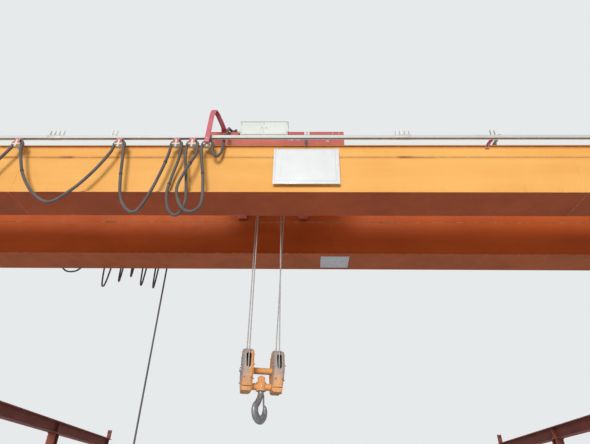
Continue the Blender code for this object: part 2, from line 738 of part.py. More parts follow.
def c_rail(name, y, side, steel):
    """A C-section track, slot down, with the brackets that carry it from the girder."""
    half, wall, slot = TRACK_SIZE / 2, TRACK_WALL, TRACK_SLOT / 2
    section = [
        (-slot, 0), (-half, 0), (-half, TRACK_SIZE), (half, TRACK_SIZE), (half, 0), (slot, 0),
        (slot, wall), (half - wall, wall), (half - wall, TRACK_SIZE - wall),
        (wall - half, TRACK_SIZE - wall), (wall - half, wall), (-slot, wall),
    ]
    track = plate(name, section, 2 * FESTOON_END, (0, y, TRACK_BOTTOM), Y, Z, steel)
    girder_edge = BRIDGE_Y + side * (CRAB_GAUGE / 2 + GIRDER_WIDTH / 2)
    pieces = []
    for n in range(BRACKETS):
        x = BRACKET_X0 + BRACKET_SPACING * (n - BRACKETS // 2)
        outer = y + side * TRACK_SIZE / 2
        inner = girder_edge - side * BRACKET_REACH
        pieces.append(
            box(
                f"{name} bracket {n}",
                (x - BRACKET_HALF, min(inner, outer), TRACK_TOP - OVERLAP / 2),
                (x + BRACKET_HALF, max(inner, outer), TRACK_TOP + BRACKET_THICKNESS),
            )
        )
        foot_high = TRACK_TOP + BRACKET_THICKNESS / 2
        foot_half = BRACKET_HALF - OVERLAP
        pieces.append(
            box(
                f"{name} foot {n}",
                (x - foot_half, min(inner, inner + side * BRACKET_FOOT), GIRDER_TOP + GAP),
                (x + foot_half, max(inner, inner + side * BRACKET_FOOT), foot_high),
            )
        )
    return track, pieces


def saddle(name, x, y, z, material, neck_top, neck_half=0.004):
    """A cable saddle: an arched seat under the cable, its side cheek and the stem into the track."""
    seat = rod(name, (x, y - SADDLE_WIDTH / 2, z), (x, y + SADDLE_WIDTH / 2, z), SADDLE_RADIUS, 20, material)
    cheek_low = y + SADDLE_WIDTH / 2 - OVERLAP
    cheek = box(
        name + " cheek",
        (x - CHEEK_HALF, cheek_low, z - CHEEK_DROP),
        (x + CHEEK_HALF, cheek_low + CHEEK_THICKNESS, TRACK_BOTTOM - CHEEK_THICKNESS),
    )
    bridge = box(
        name + " top", (x - 0.030, y - 0.006, TRACK_BOTTOM - 0.014), (
            x + 0.030, cheek_low + 0.005, TRACK_BOTTOM - 0.005
        )
    )
    stem = box(
        name + " stem", (x - 0.025, y - neck_half, TRACK_BOTTOM - 0.008), (x + 0.025, y + neck_half, neck_top)
    )
    under = box(name + " flat", (x - 0.06, y - 0.04, z - 0.06), (x + 0.06, y + 0.04, z - 0.010))
    cut(seat, under)
    join(seat, cheek, bridge, stem)
    return seat


def trolley(name, x, y, material):
    top = TRACK_BOTTOM + TRACK_SIZE / 2
    body = saddle(name, x, y, SADDLE_Z, material, top)
    wheels = box(
        name + " runner",
        (x - 0.035, y - 0.014, TRACK_BOTTOM + TRACK_WALL + GAP),
        (x + 0.035, y + 0.014, top + 0.010),
    )
    join(body, wheels)
    return body


def cable_rise(radius):
    """From a saddle's axis to the middle of the cable over it, whose bend is drawn in short straights."""
    return (SADDLE_RADIUS + radius + GAP) / SEAT_CHORD


def hanging_loops(supports, bottoms, y, radius):
    """A cable's route over a row of saddles, hanging in a loop between each pair."""
    rise = cable_rise(radius)
    points = []
    for n, x in enumerate(supports):
        points.append((x - rise, y, SADDLE_Z - 0.05))
        points += [(px, y, pz) for px, _, pz in arc((x, 0, SADDLE_Z), rise, -X, Z, *SEAT_ARC, SEAT_STEPS)]
        points.append((x + rise, y, SADDLE_Z - 0.05))
        if n < len(bottoms):
            points += [(px, y + aside, pz) for px, pz, aside in bottoms[n]]
    return points


def plain_loop(left, right, depth, points=6):
    """A loop that hangs evenly between two saddles."""
    clear = SADDLE_RADIUS + PENDANT_CABLE_RADIUS
    loop = []
    for n in range(1, points):
        t = n / points
        x = left + clear + (right - left - 2 * clear) * t
        loop.append((x, SADDLE_Z - depth * (1 - abs(2 * t - 1) ** LOOP_FULLNESS), 0))
    return loop


def build_festoons(steel, cream, black, grey):
    front_y, rear_y = BRIDGE_Y - FESTOON_Y, BRIDGE_Y + FESTOON_Y
    track, pieces = c_rail("festoon_track", front_y, -1, steel)
    fixed_x = -FESTOON_END + 0.08
    fixed = saddle("festoon end clamp", fixed_x, front_y, SADDLE_Z, None, TRACK_BOTTOM + OVERLAP / 2, 0.016)
    join(track, *pieces, fixed)
    for number, x in enumerate(TROLLEYS):
        trolley(f"festoon_trolley_{number + 1}", x, front_y, cream)
    towed = trolley("tow_trolley", TOW_X, front_y, cream)
    lug_low = (TOW_X - 0.012, front_y - ARM_REACH + ARM_RADIUS + GAP, SADDLE_Z)
    join(
        towed, box("tow lug", lug_low, (TOW_X + 0.012, front_y - SADDLE_WIDTH / 2 + OVERLAP, SADDLE_Z + 0.02))
    )
    supports = [fixed_x, *TROLLEYS, TOW_X]
    loops = [plain_loop(a, b, FESTOON_LOOP_DEPTH) for a, b in zip(supports[:3], TROLLEYS)] + FESTOON_LOOPS
    route = hanging_loops(supports, loops, front_y, FESTOON_CABLE_RADIUS)
    start = Vector((fixed_x - cable_rise(FESTOON_CABLE_RADIUS), front_y, SADDLE_Z - 0.14))
    tail = [(x, front_y + across, z) for x, across, z in FESTOON_TAIL]
    tube("festoon_cable", smooth_route([start, *route, *tail], 0.26), FESTOON_CABLE_RADIUS, black)


def small_wheel_pair(name, x, y, z, radius, half_axle, steel):
    """Two crab wheels at their gauge, on one axle along Y."""
    half_tread, rim = CRAB_WHEEL_TREAD / 2, radius + CRAB_FLANGE_HEIGHT
    half = CRAB_GAUGE / 2

    def rims(middle):
        return [
            (rim, middle + half_tread + CRAB_FLANGE_WIDTH), (rim, middle + half_tread), (
                radius, middle + half_tread
            ),
            (radius, middle - half_tread), (rim, middle - half_tread), (
                rim, middle - half_tread - CRAB_FLANGE_WIDTH
            ),
        ]

    axle = CRAB_AXLE_RADIUS
    outer, inner = half + half_tread + CRAB_FLANGE_WIDTH, half - half_tread - CRAB_FLANGE_WIDTH
    profile = [
        (0, half_axle), (axle, half_axle), (axle, outer), *rims(half), (axle, inner),
        (axle, -inner), *rims(-half), (axle, -outer), (axle, -half_axle), (0, -half_axle),
    ]
    return turned(name, profile, (x, y, z), Y, CRAB_WHEEL_STEPS, steel)


def build_crab(red, steel, grey, cream):
    half = CRAB_GAUGE / 2
    wheel_z = CRAB_RAIL_TOP + GAP + CRAB_WHEEL_RADIUS
    beam_half = CRAB_BEAM_WIDTH / 2
    pieces, cutters = [], []
    frame = None
    axle_bore = CRAB_AXLE_RADIUS + 2 * GAP
    for side, name in ((-1, "front"), (1, "rear")):
        y = BRIDGE_Y + side * half
        beam = box(
            "crab_frame" if frame is None else "crab rear beam",
            (CRAB_LEFT, y - beam_half, CRAB_BEAM_BOTTOM), (CRAB_RIGHT, y + beam_half, CRAB_BEAM_TOP), red,
        )
        wall = CRAB_BEAM_WALL
        cutters.append(
            box(
                f"crab beam hollow {name}",
                (CRAB_LEFT + wall, y - beam_half + wall, CRAB_BEAM_BOTTOM - wall),
                (CRAB_RIGHT - wall, y + beam_half - wall, CRAB_BEAM_TOP - wall),
            )
        )
        for end in (-1, 1):
            x_end = CRAB_RIGHT if end > 0 else CRAB_LEFT
            pieces.append(
                rod(
                    f"crab buffer {name} {end}",
                    (x_end - end * OVERLAP, y, CRAB_BUFFER_Z),
                    (x_end + end * CRAB_BUFFER_LENGTH, y, CRAB_BUFFER_Z),
                    CRAB_BUFFER_RADIUS,
                    16,
                )
            )
        if frame is None:
            frame = beam
        else:
            pieces.append(beam)
    for n, x in enumerate((CRAB_LEFT + CROSS_BEAM_INSET, CRAB_RIGHT - CROSS_BEAM_INSET)):
        pieces.append(
            box(
                f"crab cross beam {n}",
                (
                    x - CROSS_BEAM_WIDTH / 2,
                    BRIDGE_Y - half + beam_half - OVERLAP,
                    CRAB_BEAM_TOP - CROSS_BEAM_DEPTH,
                ),
                (x + CROSS_BEAM_WIDTH / 2, BRIDGE_Y + half - beam_half + OVERLAP, CRAB_BEAM_TOP - OVERLAP),
            )
        )
    # Two longitudinal bearers carry the hoist, with the rope's way between them.
    for n, y in enumerate((FRONT_BEARER_Y, REAR_BEARER_Y)):
        pieces.append(
            box(
                f"crab bearer {n}",
                (CRAB_LEFT + BEARER_INSET, BRIDGE_Y + y - BEARER_HALF, CRAB_BEAM_TOP - BEARER_DEPTH),
                (CRAB_RIGHT - BEARER_INSET, BRIDGE_Y + y + BEARER_HALF, BEARER_TOP),
            )
        )
    # Guide lugs hang inside the girders' inner flange edges.
    for n, x in enumerate((CRAB_X - CRAB_WHEEL_BASE / 2, CRAB_X + CRAB_WHEEL_BASE / 2)):
        for side in (-1, 1):
            y = BRIDGE_Y + side * (half - GIRDER_WIDTH / 2 - LUG_CLEARANCE)
            to = BRIDGE_Y + side * (half - beam_half + OVERLAP)
            pieces.append(
                box(
                    f"guide lug {n} {side}",
                    (x - GUIDE_HALF, min(y - side * GUIDE_THICKNESS, y), GUIDE_BOTTOM),
                    (x + GUIDE_HALF, max(y - side * GUIDE_THICKNESS, y), GUIDE_TOP),
                )
            )
            inner = y - side * (GUIDE_THICKNESS - OVERLAP)
            pieces.append(
                box(
                    f"lug arm {n} {side}",
                    (x - GUIDE_ARM_HALF, min(inner, to), GUIDE_TOP - GUIDE_ARM_DROP),
                    (x + GUIDE_ARM_HALF, max(inner, to), GUIDE_TOP - GUIDE_ARM_DROP + GUIDE_ARM_DEPTH),
                )
            )
    # Drum pedestals, at both ends of the drum.
    for end in (-1, 1):
        x = CRAB_X + end * (DRUM_LENGTH / 2 + PEDESTAL_OUT)
        pieces.append(
            box(
                f"drum pedestal {end}",
                (x - PEDESTAL_HALF, BRIDGE_Y + DRUM_Y - PEDESTAL_FRONT, CRAB_BEAM_TOP - PEDESTAL_FOOT), (
                    x + PEDESTAL_HALF, BRIDGE_Y + DRUM_Y + PEDESTAL_BACK, DRUM_Z - DRUM_SHAFT - GAP
                ),
            )
        )
    # The equaliser hangs between two cheeks from a beam over it.
    hanger_z = EQUALISER_Z + EQUALISER_RADIUS + HANGER_ROOM
    hanger_half = HANGER_CHEEK_Y + HANGER_PLATE + OVERLAP
    post_x = CRAB_LEFT + CROSS_BEAM_INSET + HANGER_POST
    for side in (-1, 1):
        y = BRIDGE_Y + EQUALISER_Y + side * HANGER_CHEEK_Y
        pieces.append(
            box(
                f"equaliser cheek {side}",
                (CRAB_X - HANGER_HALF, y - HANGER_PLATE, EQUALISER_Z - HANGER_HALF),
                (CRAB_X + HANGER_HALF, y + HANGER_PLATE, hanger_z + OVERLAP),
            )
        )
    pieces.append(
        box(
            "equaliser beam",
            (CRAB_LEFT + CROSS_BEAM_INSET + HANGER_POST, BRIDGE_Y + EQUALISER_Y - hanger_half, hanger_z),
            (
                CRAB_X + HANGER_HALF + HANGER_PLATE,
                BRIDGE_Y + EQUALISER_Y + hanger_half,
                hanger_z + HANGER_DEPTH,
            ),
        )
    )
    pieces.append(
        box(
            "equaliser post",
            (post_x - HANGER_POST / 2, BRIDGE_Y + EQUALISER_Y - hanger_half, CRAB_BEAM_TOP - HANGER_HALF),
            (
                post_x + HANGER_POST / 2,
                BRIDGE_Y + EQUALISER_Y + hanger_half,
                hanger_z + HANGER_DEPTH - OVERLAP,
            ),
        )
    )
    cut(frame, *[c for c in cutters if c.name.endswith("front")])
    join(frame, *pieces)
    cut(frame, *[c for c in cutters if c.name.endswith("rear")])
    for n, x in enumerate((CRAB_X - CRAB_WHEEL_BASE / 2, CRAB_X + CRAB_WHEEL_BASE / 2)):
        bore = half + beam_half + 0.02
        cut(
            frame,
            rod(
                f"axle bore {n}", (x, BRIDGE_Y - bore, wheel_z), (x, BRIDGE_Y + bore, wheel_z), axle_bore, 16
            ),
        )
        small_wheel_pair(
            f"crab_wheelset_{('left', 'right')[n]}", x, BRIDGE_Y, wheel_z, CRAB_WHEEL_RADIUS,
            half + beam_half - OVERLAP, steel,
        )
    build_hoist(steel, grey)
    build_panel_and_arm(cream, red, grey)


def build_hoist(steel, grey):
    y, z = BRIDGE_Y + DRUM_Y, DRUM_Z
    half = DRUM_LENGTH / 2
    grooves = []
    pitch, rim = DRUM_GROOVE_PITCH, DRUM_RADIUS + DRUM_FLANGE
    count = round((half - DRUM_GROOVE_FROM - DRUM_GROOVE_TO) / pitch)
    shaft_end, flange_in = half + DRUM_SHAFT_LENGTH, half - DRUM_FLANGE_WIDTH
    profile = [(0, shaft_end), (DRUM_SHAFT, shaft_end), (DRUM_SHAFT, half), (rim, half), (rim, flange_in)]
    for side in (1, -1):
        start = half - DRUM_GROOVE_FROM if side > 0 else -DRUM_GROOVE_TO
        for n in range(count):
            h = start - n * pitch
            grooves += [(DRUM_RADIUS, h), (DRUM_RADIUS - DRUM_GROOVE_DEPTH, h - pitch / 2)]
        grooves.append((DRUM_RADIUS, start - count * pitch))
    profile += [(DRUM_RADIUS, flange_in), *grooves, (DRUM_RADIUS, -flange_in)]
    profile += [
        (rim, -flange_in), (rim, -half), (DRUM_SHAFT, -half), (DRUM_SHAFT, -shaft_end), (0, -shaft_end)
    ]
    turned("rope_drum", profile, (CRAB_X, y, z), X, DRUM_STEPS, steel)

    gear_low = CRAB_X + half + GEARBOX_FROM_DRUM
    case_low, case_high = CRAB_BEAM_TOP + GAP, DRUM_Z + GEARBOX_RISE
    outline = chamfered(GEARBOX_LENGTH, case_high - case_low, GEARBOX_CORNER)
    case_middle = (gear_low + GEARBOX_WIDTH / 2, y + GEARBOX_SHIFT, (case_low + case_high) / 2)
    gearbox = plate("hoist_gearbox", outline, GEARBOX_WIDTH, case_middle, Y, Z, grey)
    join(
        gearbox,
        rod(
            "gearbox boss",
            (gear_low - GEARBOX_BOSS_LENGTH, y, z),
            (gear_low + OVERLAP, y, z),
            GEARBOX_BOSS,
            20,
        ),
    )
    motor_y, motor_z = y + MOTOR_FROM_DRUM, z + MOTOR_RISE
    motor_to = gear_low - MOTOR_LENGTH
    motor = rod(
        "hoist_motor",
        (gear_low - GAP, motor_y, motor_z),
        (motor_to, motor_y, motor_z),
        MOTOR_RADIUS,
        24,
        grey,
    )
    cowl_from = (motor_to + MOTOR_COWL_LAP, motor_y, motor_z)
    cowl_to = (motor_to - MOTOR_COWL_LENGTH, motor_y, motor_z)
    terminals = at_corners(
        "motor terminal box", (gear_low - MOTOR_LENGTH / 2, motor_y, motor_z + MOTOR_RADIUS - MOTOR_BOX_SUNK),
        (MOTOR_BOX_X, MOTOR_BOX_Y, 0), (MOTOR_BOX_X, MOTOR_BOX_Y, MOTOR_BOX_HEIGHT),
    )
    join(motor, rod("motor fan cowl", cowl_from, cowl_to, MOTOR_RADIUS + COWL_PROUD, 24), terminals)

    centre = (CRAB_X, BRIDGE_Y + EQUALISER_Y, EQUALISER_Z)
    groove, rim = EQUALISER_RADIUS - ROPE_SEAT, EQUALISER_RADIUS + EQUALISER_RIM
    pin = HANGER_CHEEK_Y - HANGER_PLATE - GAP
    profile = [
        (0, pin), (0.028, pin), (0.028, 0.030), (0.050, 0.030), (0.050, 0.016), (rim, 0.014),
        (groove, 0.007), (groove, -0.007),
        (rim, -0.014), (0.050, -0.016), (0.050, -0.030), (0.028, -0.030), (0.028, -pin), (0, -pin),
    ]
    turned("equaliser_sheave", profile, centre, Y, SHEAVE_STEPS, steel)


def build_panel_and_arm(cream, red, grey):
    front = BRIDGE_Y - CRAB_GAUGE / 2
    low_z = CRAB_BEAM_TOP + GAP
    panel_low = (PANEL_CENTRE_X - PANEL_WIDTH / 2, front - PANEL_DEPTH / 2 + PANEL_SHIFT, low_z)
    panel_high = (
        PANEL_CENTRE_X + PANEL_WIDTH / 2, front + PANEL_DEPTH / 2 + PANEL_SHIFT, low_z + PANEL_HEIGHT
    )
    panel = box("control_panel", panel_low, panel_high, cream)
    gland_x, gland_y, gland_z = panel_low[0], front - PANEL_SHIFT, low_z + PANEL_GLAND_Z
    join(
        panel,
        rod(
            "panel gland",
            (gland_x + OVERLAP, gland_y, gland_z),
            (gland_x - PANEL_GLAND_LENGTH, gland_y, gland_z),
            PANEL_GLAND_RADIUS,
            16,
        ),
    )

    drive_low, drive_high = BRIDGE_Y + CRAB_DRIVE_Y, BRIDGE_Y + CRAB_DRIVE_Y + CRAB_DRIVE_WIDTH
    drive = box(
        "crab_travel_drive",
        (CRAB_X + CRAB_DRIVE_FROM, drive_low, BEARER_TOP + GAP),
        (CRAB_X + CRAB_DRIVE_TO, drive_high, CRAB_BEAM_TOP + CRAB_DRIVE_HEIGHT), grey,
    )
    motor_y, motor_z = (drive_low + drive_high) / 2, CRAB_BEAM_TOP + CRAB_MOTOR_RISE
    join(
        drive,
        rod(
            "crab travel motor",
            (CRAB_X + CRAB_DRIVE_FROM + OVERLAP, motor_y, motor_z),
            (CRAB_X + CRAB_DRIVE_FROM - CRAB_MOTOR_LENGTH, motor_y, motor_z),
            CRAB_MOTOR_RADIUS,
            20,
        ),
    )

    x = TOW_X
    track_y = BRIDGE_Y - FESTOON_Y
    leg_y = track_y - ARM_REACH
    route = [
        (x, front - 0.10, CRAB_BEAM_TOP + 0.035), (x, front - 0.16, CRAB_BEAM_TOP + 0.10), (
            x, track_y + 0.02, CRAB_BEAM_TOP + 0.17
        ),
        (x, leg_y + 0.01, CRAB_BEAM_TOP + 0.12), (x, leg_y, CRAB_BEAM_TOP - 0.10), (
            x, leg_y, SADDLE_Z - 0.02
        ),
    ]
    arm = solid_tube("tow_arm", route, ARM_RADIUS, red, 2)
    foot = box(
        "tow arm foot",
        (x - 0.035, front - 0.12, CRAB_BEAM_TOP + GAP),
        (x + 0.035, front - 0.03, CRAB_BEAM_TOP + 0.05),
    )
    join(arm, foot)


# Hook block


def at_block(along, across, z):
    """A place in the block's own twisted frame: along the axle, across it, and a true height."""
    return Vector((CRAB_X, BRIDGE_Y, z)) + along * U + across * V


def housing_outline():
    top = HOUSING_TOP - SHEAVE_Z
    foot = TRUNNION_Z - SHEAVE_Z - HOUSING_BELOW_TRUNNION
    crown = HOUSING_CROWN
    points = [
        (math.cos(a) * crown, top - crown + math.sin(a) * crown)
        for a in (math.radians(n) for n in range(0, 181, 30))
    ]
    points += [
        (-HOUSING_RADIUS, HOUSING_FLAT),
        (-HOUSING_RADIUS, -HOUSING_FLAT),
        (-HOUSING_FOOT, foot),
        (HOUSING_FOOT, foot),
        (HOUSING_RADIUS, -HOUSING_FLAT),
        (HOUSING_RADIUS, HOUSING_FLAT),
    ]
    return points


def build_housing(side, name, orange):
    middle = side * SHEAVE_OFFSET
    centre = at_block(middle, 0, SHEAVE_Z)
    outline = housing_outline()
    housing = plate(f"block_housing_{name}", outline, HOUSING_WIDTH, centre, V, Z, orange)
    half_room = SHEAVE_WIDTH / 2 + SHEAVE_ROOM
    room = rod(
        f"sheave room {name}",
        at_block(middle - half_room, 0, SHEAVE_Z),
        at_block(middle + half_room, 0, SHEAVE_Z),
        SHEAVE_PITCH_RADIUS + SHEAVE_RIM + SHEAVE_ROOM,
        32,
    )
    cut(housing, room)
    slot_half = SLOT_WIDTH / 2
    for face in (-1, 1):
        near, far = face * (SHEAVE_PITCH_RADIUS - 0.035), face * (HOUSING_RADIUS + 0.02)
        reach = box(
            f"rope slot {name} {face}", (-slot_half, min(near, far), 0), (slot_half, max(near, far), 0.24)
        )
        reach.data.transform(Matrix.Translation(centre) @ Matrix.Rotation(BLOCK_TWIST, 4, "Z"))
        cut(housing, reach)
    bore = rod(
        f"axle bore {name}", at_block(middle - HOUSING_WIDTH, 0, SHEAVE_Z), at_block(
            middle + HOUSING_WIDTH, 0, SHEAVE_Z
        ), AXLE_RADIUS + 0.0005, 20
    )
    inner = middle - side * HOUSING_WIDTH / 2
    pin = rod(
        f"trunnion bore {name}", at_block(inner - side * 0.02, 0, TRUNNION_Z), at_block(
            inner + side * 0.04, 0, TRUNNION_Z
        ), TRUNNION_RADIUS + 0.0005, 20
    )
    cut(housing, bore, pin)
    return housing


def build_block(orange, steel, cable):
    for side, name in ((-1, "left"), (1, "right")):
        build_housing(side, name, orange)
        middle = side * SHEAVE_OFFSET
        half = SHEAVE_WIDTH / 2
        groove = SHEAVE_PITCH_RADIUS - ROPE_SEAT
        rim = SHEAVE_PITCH_RADIUS + SHEAVE_RIM
        profile = [
            (SHEAVE_BORE, half), (0.060, half), (0.060, 0.014), (SHEAVE_PITCH_RADIUS - 0.03, 0.014), (
                rim, 0.020
            ),
            (groove, 0.0075), (groove, -0.0075),
            (rim, -0.020), (SHEAVE_PITCH_RADIUS - 0.03, -0.014), (0.060, -0.014), (0.060, -half), (
                SHEAVE_BORE, -half
            ),
        ]
        turned(f"sheave_{name}", profile, at_block(middle, 0, SHEAVE_Z), U, SHEAVE_STEPS, steel, ring=True)
    reach = SHEAVE_OFFSET + HOUSING_WIDTH / 2 + 0.012
    axle = rod(
        "block_axle", at_block(-reach, 0, SHEAVE_Z), at_block(reach, 0, SHEAVE_Z), AXLE_RADIUS, 20, orange
    )
    gap_half = SHEAVE_OFFSET - HOUSING_WIDTH / 2 - GAP
    join(
        axle,
        rod(
            "axle spacer",
            at_block(-gap_half, 0, SHEAVE_Z),
            at_block(gap_half, 0, SHEAVE_Z),
            SPACER_RADIUS,
            24,
        ),
    )

    pin_half = SHEAVE_OFFSET - HOUSING_WIDTH / 2 + TRUNNION_GRIP
    room_half = gap_half - 0.006
    crosshead = rod(
        "crosshead",
        at_block(-pin_half, 0, TRUNNION_Z),
        at_block(pin_half, 0, TRUNNION_Z),
        TRUNNION_RADIUS,
        20,
        orange,
    )
    shoulder = rod(
        "crosshead shoulder",
        at_block(-room_half, 0, TRUNNION_Z),
        at_block(room_half, 0, TRUNNION_Z),
        CROSSHEAD_SHOULDER,
        20,
    )
    boss_low, boss_high = (at_block(0, 0, TRUNNION_Z + end * CROSSHEAD_HALF_HEIGHT) for end in (-1, 1))
    boss = rod("crosshead boss", boss_low, boss_high, CROSSHEAD_RADIUS, 24)
    join(crosshead, shoulder, boss)
    cut(
        crosshead,
        rod(
            "shank bore",
            at_block(0, 0, TRUNNION_Z - 0.1),
            at_block(0, 0, TRUNNION_Z + 0.1),
            SHANK_RADIUS + 0.0005,
            20,
        ),
    )
    build_hook(steel)
    build_rope(cable)


def hook_point(along, z):
    return Vector((CRAB_X, BRIDGE_Y, z)) + along * Vector((math.cos(HOOK_TURN), math.sin(HOOK_TURN), 0))


def build_hook(steel):
    """A forged single hook: a shank with its nut, and a bowl swept along a curve of changing thickness."""
    nut_low = TRUNNION_Z + CROSSHEAD_HALF_HEIGHT + GAP
    bowl_z = HOOK_BOTTOM + HOOK_THICK + HOOK_BOWL_RADIUS + 0.012
    along = Vector((math.cos(HOOK_TURN), math.sin(HOOK_TURN), 0))
    width = Vector((-math.sin(HOOK_TURN), math.cos(HOOK_TURN), 0))
    top = TRUNNION_Z - CROSSHEAD_HALF_HEIGHT - GAP
    centre_line = [
        ((0.0, top), 0.030, 0.030), ((0.0, top - 0.03), 0.030, 0.032), ((-0.012, top - 0.06), 0.031, 0.030),
        ((-0.045, bowl_z + 0.065), 0.034, 0.032), ((-0.082, bowl_z + 0.025), 0.038, 0.033),
        ((-0.093, bowl_z - 0.020), 0.041, 0.034), ((-0.073, bowl_z - 0.070), 0.044, 0.034),
        ((-0.028, bowl_z - 0.098), 0.046, 0.034), ((0.028, bowl_z - 0.098), 0.044, 0.033),
        ((0.074, bowl_z - 0.066), 0.038, 0.031), ((0.092, bowl_z - 0.016), 0.030, 0.027),
        ((0.089, bowl_z + 0.022), 0.022, 0.021), ((0.083, bowl_z + 0.045), 0.012, 0.012),
    ]
    shape = bmesh.new()
    rings, sides = [], 12
    for n, ((h, z), half_depth, half_thick) in enumerate(centre_line):
        before = centre_line[max(0, n - 1)][0]
        after = centre_line[min(len(centre_line) - 1, n + 1)][0]
        run = Vector((after[0] - before[0], after[1] - before[1])).normalized()
        normal = -run[1] * along + run[0] * Z
        place = hook_point(h, z)
        ring = []
        for k in range(sides):
            angle = 2 * math.pi * k / sides
            ring.append(
                shape.verts.new(
                    place + math.cos(angle) * half_depth * normal + math.sin(angle) * half_thick * width
                ),
            )
        rings.append(ring)
    for first, second in zip(rings, rings[1:]):
        for k in range(sides):
            shape.faces.new((first[k], first[(k + 1) % sides], second[(k + 1) % sides], second[k]))
    shape.faces.new(rings[0])
    shape.faces.new(rings[-1])
    bmesh.ops.recalc_face_normals(shape, faces=shape.faces)
    hook = from_bmesh("hook", shape, steel, smooth=True)
    shank = rod(
        "hook shank",
        hook_point(0, top - 0.015),
        hook_point(0, nut_low + NUT_HEIGHT + 0.008),
        SHANK_RADIUS,
        20,
    )
    nut = rod("hook nut", hook_point(0, nut_low), hook_point(0, nut_low + NUT_HEIGHT), NUT_RADIUS, 6)
    pivot, tip = hook_point(0.040, top - 0.034), hook_point(0.054, bowl_z + 0.030)
    lug = box("latch lug", (-0.022, -LUG_HALF, -LUG_RADIUS), (0, LUG_HALF, LUG_RADIUS))
    lug.data.transform(Matrix.Translation(pivot) @ Matrix.Rotation(HOOK_TURN, 4, "Z"))
    lug_eye = rod(
        "latch lug eye",
        pivot - (LUG_HALF - GAP) * width,
        pivot + (LUG_HALF - GAP) * width,
        LUG_RADIUS + GAP,
        16,
    )
    join(hook, shank, nut, lug, lug_eye)

    down = (tip - pivot).normalized()
    length = (tip - pivot).length
    in_latch = frame_at(pivot, width, down)
    sideways = 1 if (in_latch.to_3x3() @ Z).dot(along) > 0 else -1
    half, inside = LATCH_WIDTH / 2, LUG_RADIUS + 0.0015
    strap_low, strap_high = (-half, -LUG_RADIUS, sideways * inside), (
        half, length, sideways * (inside + LATCH_THICKNESS)
    )
    strap = box("latch", strap_low, strap_high, steel)
    ears = []
    for end in (-1, 1):
        ear_low = (end * (LUG_HALF + 0.0005), -0.007, sideways * -0.007)
        ear_high = (end * (half - 0.0005), 0.025, sideways * (inside + LATCH_THICKNESS / 2))
        ears.append(box(f"latch ear {end}", ear_low, ear_high))
    for piece in (strap, *ears):
        piece.data.transform(in_latch)
    join(strap, *ears)


def build_rope(cable):
    """The rope, from the drum over the left sheave, the equaliser and the right sheave, back to the drum."""
    down = SHEAVE_PITCH_RADIUS
    left, right = at_block(-SHEAVE_OFFSET, 0, SHEAVE_Z), at_block(SHEAVE_OFFSET, 0, SHEAVE_Z)
    drum_y = BRIDGE_Y + DRUM_Y - DRUM_RADIUS - ROPE_RADIUS - GAP
    start_left, start_right = Vector((CRAB_X - 0.20, drum_y, DRUM_Z)), Vector((CRAB_X + 0.20, drum_y, DRUM_Z))
    equaliser = Vector((CRAB_X, BRIDGE_Y + EQUALISER_Y, EQUALISER_Z))
    points = [start_left]
    points += arc(left, down, V, Z, 0, -180, 12)
    points += arc(equaliser, EQUALISER_RADIUS, X, Z, 180, 0, 12)
    points += arc(right, down, -V, Z, 0, -180, 12)
    points.append(start_right)
    tube("hoist_rope", points, ROPE_RADIUS, cable, 2)


# Plates and the rear festoon


def build_boards(cream, grey):
    y = BRIDGE_Y - CRAB_GAUGE / 2 - GIRDER_WIDTH / 2 + FLANGE_OVERHANG - STRAKE_PROUD - GAP
    box("notice_board", (-0.375, y - 0.004, 4.645), (0.415, y, 5.205), cream)
    low = GIRDER_UNDERSIDE - GAP
    middle = BRIDGE_Y + CRAB_GAUGE / 2
    box("direction_plate", (0.245, middle - 0.17, low - 0.004), (0.645, middle + 0.17, low), grey)


def build_pendant(steel, black, grey, yellow):
    y = BRIDGE_Y + FESTOON_Y
    track, pieces = c_rail("pendant_track", y, 1, steel)
    for n, x in enumerate(PENDANT_CARRIERS):
        pieces.append(saddle(f"pendant carrier {n}", x, y, SADDLE_Z, None, TRACK_BOTTOM + OVERLAP / 2, 0.016))
    join(track, *pieces)
    depths = (0.62, 0.86, 0.78, 0.70, 0.84, 0.88)
    pairs = zip(PENDANT_CARRIERS, PENDANT_CARRIERS[1:])
    loops = [plain_loop(a, b, depth) for (a, b), depth in zip(pairs, depths)]
    route = hanging_loops(PENDANT_CARRIERS, loops, y, PENDANT_CABLE_RADIUS)
    last_x = PENDANT_CARRIERS[-1] + cable_rise(PENDANT_CABLE_RADIUS)
    route = route[:-1] + [(last_x, y, SADDLE_Z - 0.06), (last_x, y, SADDLE_Z - 0.12)]
    tube("pendant_festoon_cable", smooth_route(route, 0.30), PENDANT_CABLE_RADIUS, black)

    top = SADDLE_Z - 0.12 - GAP
    gland = rod("pendant_gland", (last_x, y, top), (last_x, y, top - 0.07), 0.020, 16, black, 0.015)
    cable_top, cable_foot = top - 0.07 - GAP, STATION_TOP + 0.06 + GAP
    count = 30
    drop = [(last_x, y, cable_top + (cable_foot - cable_top) * n / count) for n in range(count + 1)]
    tube("pendant_cable", drop, PENDANT_CABLE_RADIUS, grey)
    station = box(
        "pendant_station", (last_x - 0.05, y - 0.042, STATION_TOP - STATION_HEIGHT), (
            last_x + 0.05, y + 0.042, STATION_TOP
        ), yellow
    )
    buttons = [
        rod(f"station button {n}", (last_x, y - 0.040, z), (last_x, y - 0.054, z), 0.015, 16)
        for n, z in enumerate(STATION_TOP - 0.05 - 0.04 * k for k in range(6))
    ]
    join(
        station,
        *buttons,
        rod(
            "station cable entry",
            (last_x, y, STATION_TOP - OVERLAP),
            (last_x, y, STATION_TOP + 0.06),
            0.026,
            16,
            None,
            0.016,
        ),
    )
    return gland


